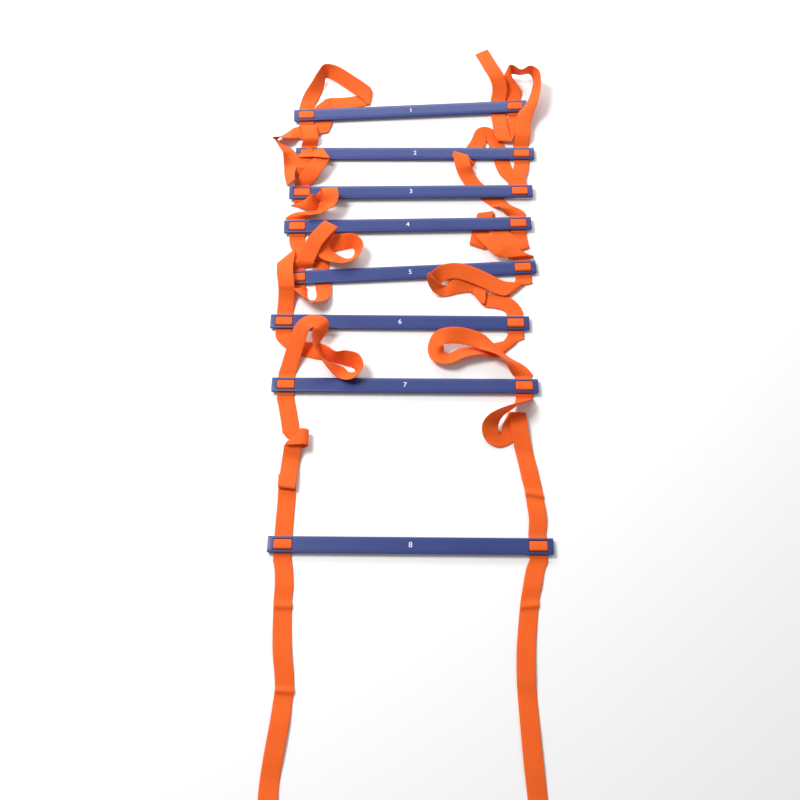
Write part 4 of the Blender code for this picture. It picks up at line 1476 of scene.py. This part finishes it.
@dataclass
class RungMaker:
    """The moulded rungs: numbered flat bars with a crowned face, round edges and four rimmed slots."""

    plastic: bpy.types.Material
    print_ink: bpy.types.Material
    sizes: RungSizes = RungSizes()
    crown_steps: int = 5
    corner_segments: int = 4
    corner_profile: float = 0.5
    edge_segments: int = 3
    edge_angle_deg: float = 50
    sharp_deg: float = 32
    rim_flare_share: float = 1.5
    number_height: float = 0.0115
    number_wall: float = 0.00006
    overrun: float = 0.002

    def section(self) -> list[tuple[float, float]]:
        """Outline the bar's cross-section, with its crowned upper face.

        Returns:
            Its points, across and up, from its underside round.
        """
        sizes = self.sizes
        half, flat = sizes.width / 2, sizes.width / 2 * sizes.crown_flat_share
        row = [(-half, 0.0), (half, 0.0)]
        steps = [step / self.crown_steps for step in range(self.crown_steps + 1)]
        fall = []
        for share in reversed(steps):
            fall.append((flat + (half - flat) * share, sizes.thickness - sizes.crown_drop * share**2))
        return row + fall + [(-y, z) for y, z in reversed(fall)]

    def bar(self) -> bpy.types.Mesh:
        """Build the bar without its slots, its upright corners rounded.

        Returns:
            The mesh, about the rung's own origin.
        """
        outline = self.section()
        shape = bmesh.new()
        ends = []
        for x in (-self.sizes.length / 2, self.sizes.length / 2):
            ends.append([shape.verts.new((x, y, z)) for y, z in outline])
        shape.faces.new(ends[0])
        shape.faces.new(reversed(ends[1]))
        add_wall(shape, *ends)
        bmesh.ops.recalc_face_normals(shape, faces=shape.faces)
        upright = [e for e in shape.edges if self._upright(e)]
        bmesh.ops.bevel(
            shape,
            geom=upright,
            offset=self.sizes.corner_round,
            segments=self.corner_segments,
            profile=self.corner_profile,
            affect="EDGES",
        )
        return mesh_of(shape, "rung_bar")

    def _upright(self, edge: bmesh.types.BMEdge) -> bool:
        """Whether an edge of the bar stands at one of its four corners."""
        a, b = (vert.co for vert in edge.verts)
        return abs(a.z - b.z) > self.sizes.thickness / 2 and abs(a.x - b.x) < self.sizes.thickness / 2

    def slots(self) -> bpy.types.Mesh:
        """Build the four slots as one cutter: upright boxes that flare at both faces.

        Returns:
            The mesh, about the rung's own origin.
        """
        sizes = self.sizes
        rim_flare = self.rim_flare_share * sizes.slot_rim
        shape = bmesh.new()
        levels = (
            (-self.overrun, self.overrun + sizes.slot_rim),
            (0.0, sizes.slot_rim),
            (sizes.slot_rim, 0.0),
            (sizes.thickness - 2 * sizes.slot_rim, 0.0),
            (sizes.thickness - sizes.slot_rim / 2, rim_flare),
            (sizes.thickness + self.overrun, rim_flare + self.overrun),
        )
        for side in (LEFT, RIGHT):
            for edge in (NEAR, FAR):
                middle_x, middle_y = side * sizes.slot_middle, edge * sizes.slot_offset
                rings = []
                for z, flare in levels:
                    x, y = sizes.slot_length / 2 + flare, sizes.slot_width / 2 + flare
                    corners = ((-x, -y), (x, -y), (x, y), (-x, y))
                    rings.append([shape.verts.new((middle_x + u, middle_y + v, z)) for u, v in corners])
                shape.faces.new(reversed(rings[0]))
                shape.faces.new(rings[-1])
                for low, high in zip(rings, rings[1:]):
                    add_wall(shape, low, high)
        return mesh_of(shape, "slot_cutter")

    def body(self) -> bpy.types.Mesh:
        """Build the finished bar with its slots.

        Returns:
            The mesh, about the rung's own origin.
        """
        cutter = link("slot_cutter", self.slots(), None)
        bar = link("rung_bar", self.bar(), self.plastic)
        edges = bar.modifiers.new("edges", "BEVEL")
        edges.width = self.sizes.edge_round
        edges.segments = self.edge_segments
        edges.limit_method = "ANGLE"
        edges.angle_limit = math.radians(self.edge_angle_deg)
        cut = bar.modifiers.new("slots", "BOOLEAN")
        cut.object = cutter
        cut.operation = "DIFFERENCE"
        cut.solver = "EXACT"
        mesh = frozen_mesh(bar, Matrix.Identity(4))
        bpy.data.objects.remove(cutter, do_unlink=True)
        shade(mesh, self.sharp_deg)
        return mesh

    def number(self, number: int, place: Matrix) -> bpy.types.Object:
        """Print the rung's number in the middle of its upper face.

        Args:
            number: The rung's number.
            place: Where the rung lies.

        Returns:
            The print, as a thin plate.
        """
        words = bpy.data.curves.new(f"rung_{number}_number", "FONT")
        words.body = str(number)
        words.size = self.number_height
        words.extrude = self.number_wall / 2
        words.align_x = "CENTER"
        words.align_y = "CENTER"
        text = into_scene(f"rung_{number}_text", words)
        mesh = frozen_mesh(text, place @ Matrix.Translation((0, 0, self.sizes.thickness)))
        return link(f"rung_{number}_number", mesh, self.print_ink)

    def build(self, places: dict[int, Matrix]) -> None:
        """Make and mount every rung.

        Args:
            places: Where each rung lies.
        """
        body = self.body()
        for number, place in places.items():
            mesh = body.copy()
            mesh.transform(place)
            rung = link(f"rung_{number}_moulding", mesh, self.plastic)
            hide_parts(f"rung_{number}")
            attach(rung, f"rung_{number}_body")
            mark = self.number(number, place)
            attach(mark, f"rung_{number}_body")
            LOG.info("rung %d with its number", number)


@dataclass(frozen=True)
class Stretch:
    """One free stretch of a strap. Its ends are each given as a rung and that rung's long edge."""

    name: str
    side: int
    start: tuple[int, int]
    route: Route
    finish: tuple[int, int] | None
    body: int
    blended: tuple[int, int] | None
    hold: Hold


def stretches() -> list[Stretch]:
    """Name every free stretch of both straps.

    Returns:
        The stretches, on each strap from its far tail to its near one.
    """
    rows = []
    for side, word in SIDES:
        far_tail, *bays, near_tail = STRAP_ROUTES[side]
        tail_edge, bay_edge = (FAR, NEAR) if side == LEFT else (NEAR, FAR)
        rows.append(
            Stretch(
                name=f"{word}_webbing_far_tail",
                side=side,
                start=(1, tail_edge),
                route=far_tail,
                finish=None,
                body=1,
                blended=(1, 2) if side == LEFT else None,
                hold=Hold.LAID,
            )
        )
        for rung, route in enumerate(bays, start=1):
            rows.append(
                Stretch(
                    name=f"{word}_webbing_{rung}_to_{rung + 1}",
                    side=side,
                    start=(rung, bay_edge if rung == 1 else NEAR),
                    route=route,
                    finish=(rung + 1, FAR),
                    body=rung + 1,
                    blended=(rung, rung + 1),
                    hold=Hold.FOLDED,
                )
            )
        last = len(RUNG_PLACES)
        rows.append(
            Stretch(
                name=f"{word}_webbing_near_tail",
                side=side,
                start=(last, NEAR),
                route=near_tail,
                finish=None,
                body=last,
                blended=None,
                hold=Hold.LAID,
            )
        )
    return rows


@dataclass
class Webbing:
    """Both straps: what is threaded through each rung, and the free stretches between and past them.

    The count of stretches made so far is the seed of each one's selvage.
    """

    path: StrapPath
    nylon: bpy.types.Material
    sealed: bpy.types.Material
    fine_steps: int = 4
    corner_steps: int = 5
    bead_radius: float = 0.0009
    bead_segments: int = 16
    bead_rings: int = 10
    made: int = 0

    def __post_init__(self) -> None:
        """Make the tools that every strap uses."""
        self.skin = StrapSkin(self.path.web)
        self.selvage = Selvage(self.nylon)

    def meet(self, lines: list[Line], index: int, foot: Foot) -> None:
        """Put an end of a stretch half a clearance out from its foot, to meet the next stretch.

        Args:
            lines: The stretch's lines.
            index: Which of them is that end.
            foot: The foot.
        """
        middle = foot.middle + foot.outward * (self.path.web.clearance / 2)
        lines[index] = Line(middle, lines[index].half)

    def dress(
        self,
        name: str,
        lines: list[Line],
        hold: Hold,
        rests_on: tuple[str, ...],
    ) -> list[bpy.types.Object]:
        """Build a stretch's body and its selvage.

        Args:
            name: The CAD node that it stands for.
            lines: Its lines, close together.
            hold: How it is held; not used.
            rests_on: What it lies on or is threaded through; not used.

        Returns:
            The body and the selvage.
        """
        length = sum((b.middle - a.middle).length for a, b in zip(lines, lines[1:]))
        body = link(f"{name}_weave", self.skin.mesh(name, lines), self.nylon)
        self.made += 1
        selvage = self.selvage.piece(f"{name}_selvage", self.skin.edge_mesh(name, lines), self.made)
        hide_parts(name)
        self.path.web.width
        LOG.info("%s, %.0f mm of webbing", name, length * MM_PER_METRE)
        return [body, selvage]

    def seal(self, name: str, line: Line) -> bpy.types.Object:
        """Melt a bead along a cut end.

        Args:
            name: The bead's name.
            line: The last line of the strap.

        Returns:
            The bead.
        """
        shape = bmesh.new()
        bmesh.ops.create_uvsphere(
            shape,
            u_segments=self.bead_segments,
            v_segments=self.bead_rings,
            radius=self.bead_radius,
        )
        turn = line.half.to_track_quat("Z", "Y").to_matrix().to_4x4()
        long = Matrix.Diagonal((1, 1, line.half.length / self.bead_radius, 1))
        place = Matrix.Translation(line.middle) @ turn @ long
        bmesh.ops.transform(shape, matrix=place, verts=shape.verts)
        mesh = mesh_of(shape, name)
        mesh.shade_smooth()
        return link(name, mesh, self.sealed)

    def build(self) -> None:
        """Make, settle, dress and mount every stretch."""
        layers = Layers(self.path)
        free, fixed = {}, {}
        put = self.path.steps + 1
        for stretch in stretches():
            start, finish = self.feet(stretch)
            lines = self.path.free_lines(start, stretch.route, finish)
            free[stretch.name] = (stretch, lines)
            layers.add_strap(stretch.name, lines, (put, put if finish else 0))
        for number in self.path.rungs:
            for side, word in SIDES:
                name = f"{word}_webbing_at_rung_{number}"
                lines = self.path.threaded_lines(number, side)
                fixed[name] = (number, side, lines)
                layers.add_strap(name, lines, (len(lines), 0))
        for number in self.path.rungs:
            layers.add_rung(number)
        level = layers.settle()
        for name, (stretch, lines) in free.items():
            first = layers.spans[name][0]
            for index, line in enumerate(lines):
                line.middle.z = float(level[first + index])
            self.mount_free(stretch, lines)
        for name, (number, side, lines) in fixed.items():
            self.mount_threaded(name, number, side, lines)

    def feet(self, stretch: Stretch) -> tuple[Foot, Foot | None]:
        """Find the feet that a stretch runs between.

        Args:
            stretch: The stretch.

        Returns:
            The foot it starts at, and the one it ends at or None for a tail.
        """
        ends = (stretch.start, stretch.finish)
        start, finish = (self.path.foot(end[0], stretch.side, end[1]) if end else None for end in ends)
        return start, finish

    def mount_free(self, stretch: Stretch, lines: list[Line]) -> None:
        """Dress a free stretch and hang it from its body, or, where it runs between two rungs, bake it
        in place unattached.

        Args:
            stretch: The stretch.
            lines: Its settled lines.
        """
        start, finish = self.feet(stretch)
        self.meet(lines, 0, start)
        if finish:
            self.meet(lines, -1, finish)
        fine = self.skin.finer(lines, self.fine_steps)
        rests_on = ("studio_floor", f"rung_{stretch.body}_moulding")
        pieces = self.dress(stretch.name, fine, stretch.hold, rests_on)
        if not finish:
            pieces.append(self.seal(f"{stretch.name}_end", fine[-1]))
        if not stretch.blended:
            for piece in pieces:
                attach(piece, f"rung_{stretch.body}_body")
            return
        before, after = stretch.blended
        leaves = start if finish else self.path.foot(before, stretch.side, NEAR)
        arrives = self.path.foot(after, stretch.side, FAR)
        for piece in pieces:
            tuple(leaves.middle)
            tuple(arrives.middle)
            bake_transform(piece)

    def mount_threaded(self, name: str, number: int, side: int, lines: list[Line]) -> None:
        """Dress the webbing through a rung's slots and hang it from the rung.

        Args:
            name: The CAD node that it stands for.
            number: The rung.
            side: LEFT or RIGHT.
            lines: Its lines.
        """
        for index, end in ((0, FAR), (-1, NEAR)):
            self.meet(lines, index, self.path.foot(number, side, end))
        round_lines = self.skin.rounded(lines, self.corner_steps)
        for piece in self.dress(name, round_lines, Hold.STRETCHED, (f"rung_{number}_moulding",)):
            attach(piece, f"rung_{number}_body")


@dataclass(frozen=True)
class Lamp:
    """A soft rectangular lamp."""

    name: str
    place: tuple[float, float, float]
    aim: tuple[float, float, float]
    size: tuple[float, float]
    watts: float

    def add(self) -> None:
        """Hang the lamp."""
        light = bpy.data.lights.new(self.name, "AREA")
        light.shape = "RECTANGLE"
        light.size, light.size_y = self.size
        light.energy = self.watts
        lamp = into_scene(self.name, light)
        lamp.location = self.place
        way = Vector(self.aim) - Vector(self.place)
        lamp.rotation_euler = way.to_track_quat("-Z", "Y").to_euler()


@dataclass(frozen=True)
class Studio:
    """The plain pale floor, the soft light and the view."""

    floor_size: float = 3.6
    floor_gap: float = 0.0002
    ambient: float = 0.34
    lamps: tuple[Lamp, ...] = (
        Lamp("key_lamp", place=(-1.3, 0.8, 1.9), aim=(0.0, 0.0, 0.0), size=(0.9, 0.9), watts=55.0),
        Lamp("back_lamp", place=(0.1, 2.0, 1.1), aim=(0.0, 0.7, 0.0), size=(2.4, 0.6), watts=30.0),
    )

    def build(self, view: PhotoView) -> None:
        """Lay the floor, hang the lamps and set the view.

        Args:
            view: The photograph's camera.
        """
        shape = bmesh.new()
        bmesh.ops.create_grid(shape, x_segments=1, y_segments=1, size=self.floor_size / 2)
        mesh = mesh_of(shape, "studio_floor")
        mesh.transform(Matrix.Translation((0, 0, -self.floor_gap)))
        link("studio_floor", mesh, FLOOR.material())
        world = bpy.data.worlds.new("studio_world")
        bpy.context.scene.world = world
        world.use_nodes = True
        graph = Graph(world.node_tree)
        rays = graph.node("ShaderNodeLightPath", {}, {})
        shown = {wire.socket.name: wire for wire in rays}
        white = shown["Is Camera Ray"] + shown["Is Glossy Ray"] + shown["Is Transmission Ray"]
        back = world.node_tree.nodes["Background"]
        graph.feed(back.inputs["Color"], WHITE)
        graph.feed(back.inputs["Strength"], self.ambient + white * (1 - self.ambient))
        for lamp in self.lamps:
            lamp.add()
        view.add_camera()
        bpy.context.scene.view_settings.view_transform = "Standard"
        LOG.info("studio")


def main() -> None:
    """Build the ladder and the studio."""
    logging.basicConfig(level=logging.INFO, format="%(message)s")
    view = PhotoView()
    rungs = {number: place.matrix(view, RungSizes()) for number, place in RUNG_PLACES.items()}
    nylon = WovenNylon().material()
    RungMaker(MouldedPlastic().material(), PRINT.material()).build(rungs)
    Webbing(StrapPath(view, rungs), nylon, SEALED_END.material()).build()
    Studio().build(view)


if __name__ == "__main__":
    main()
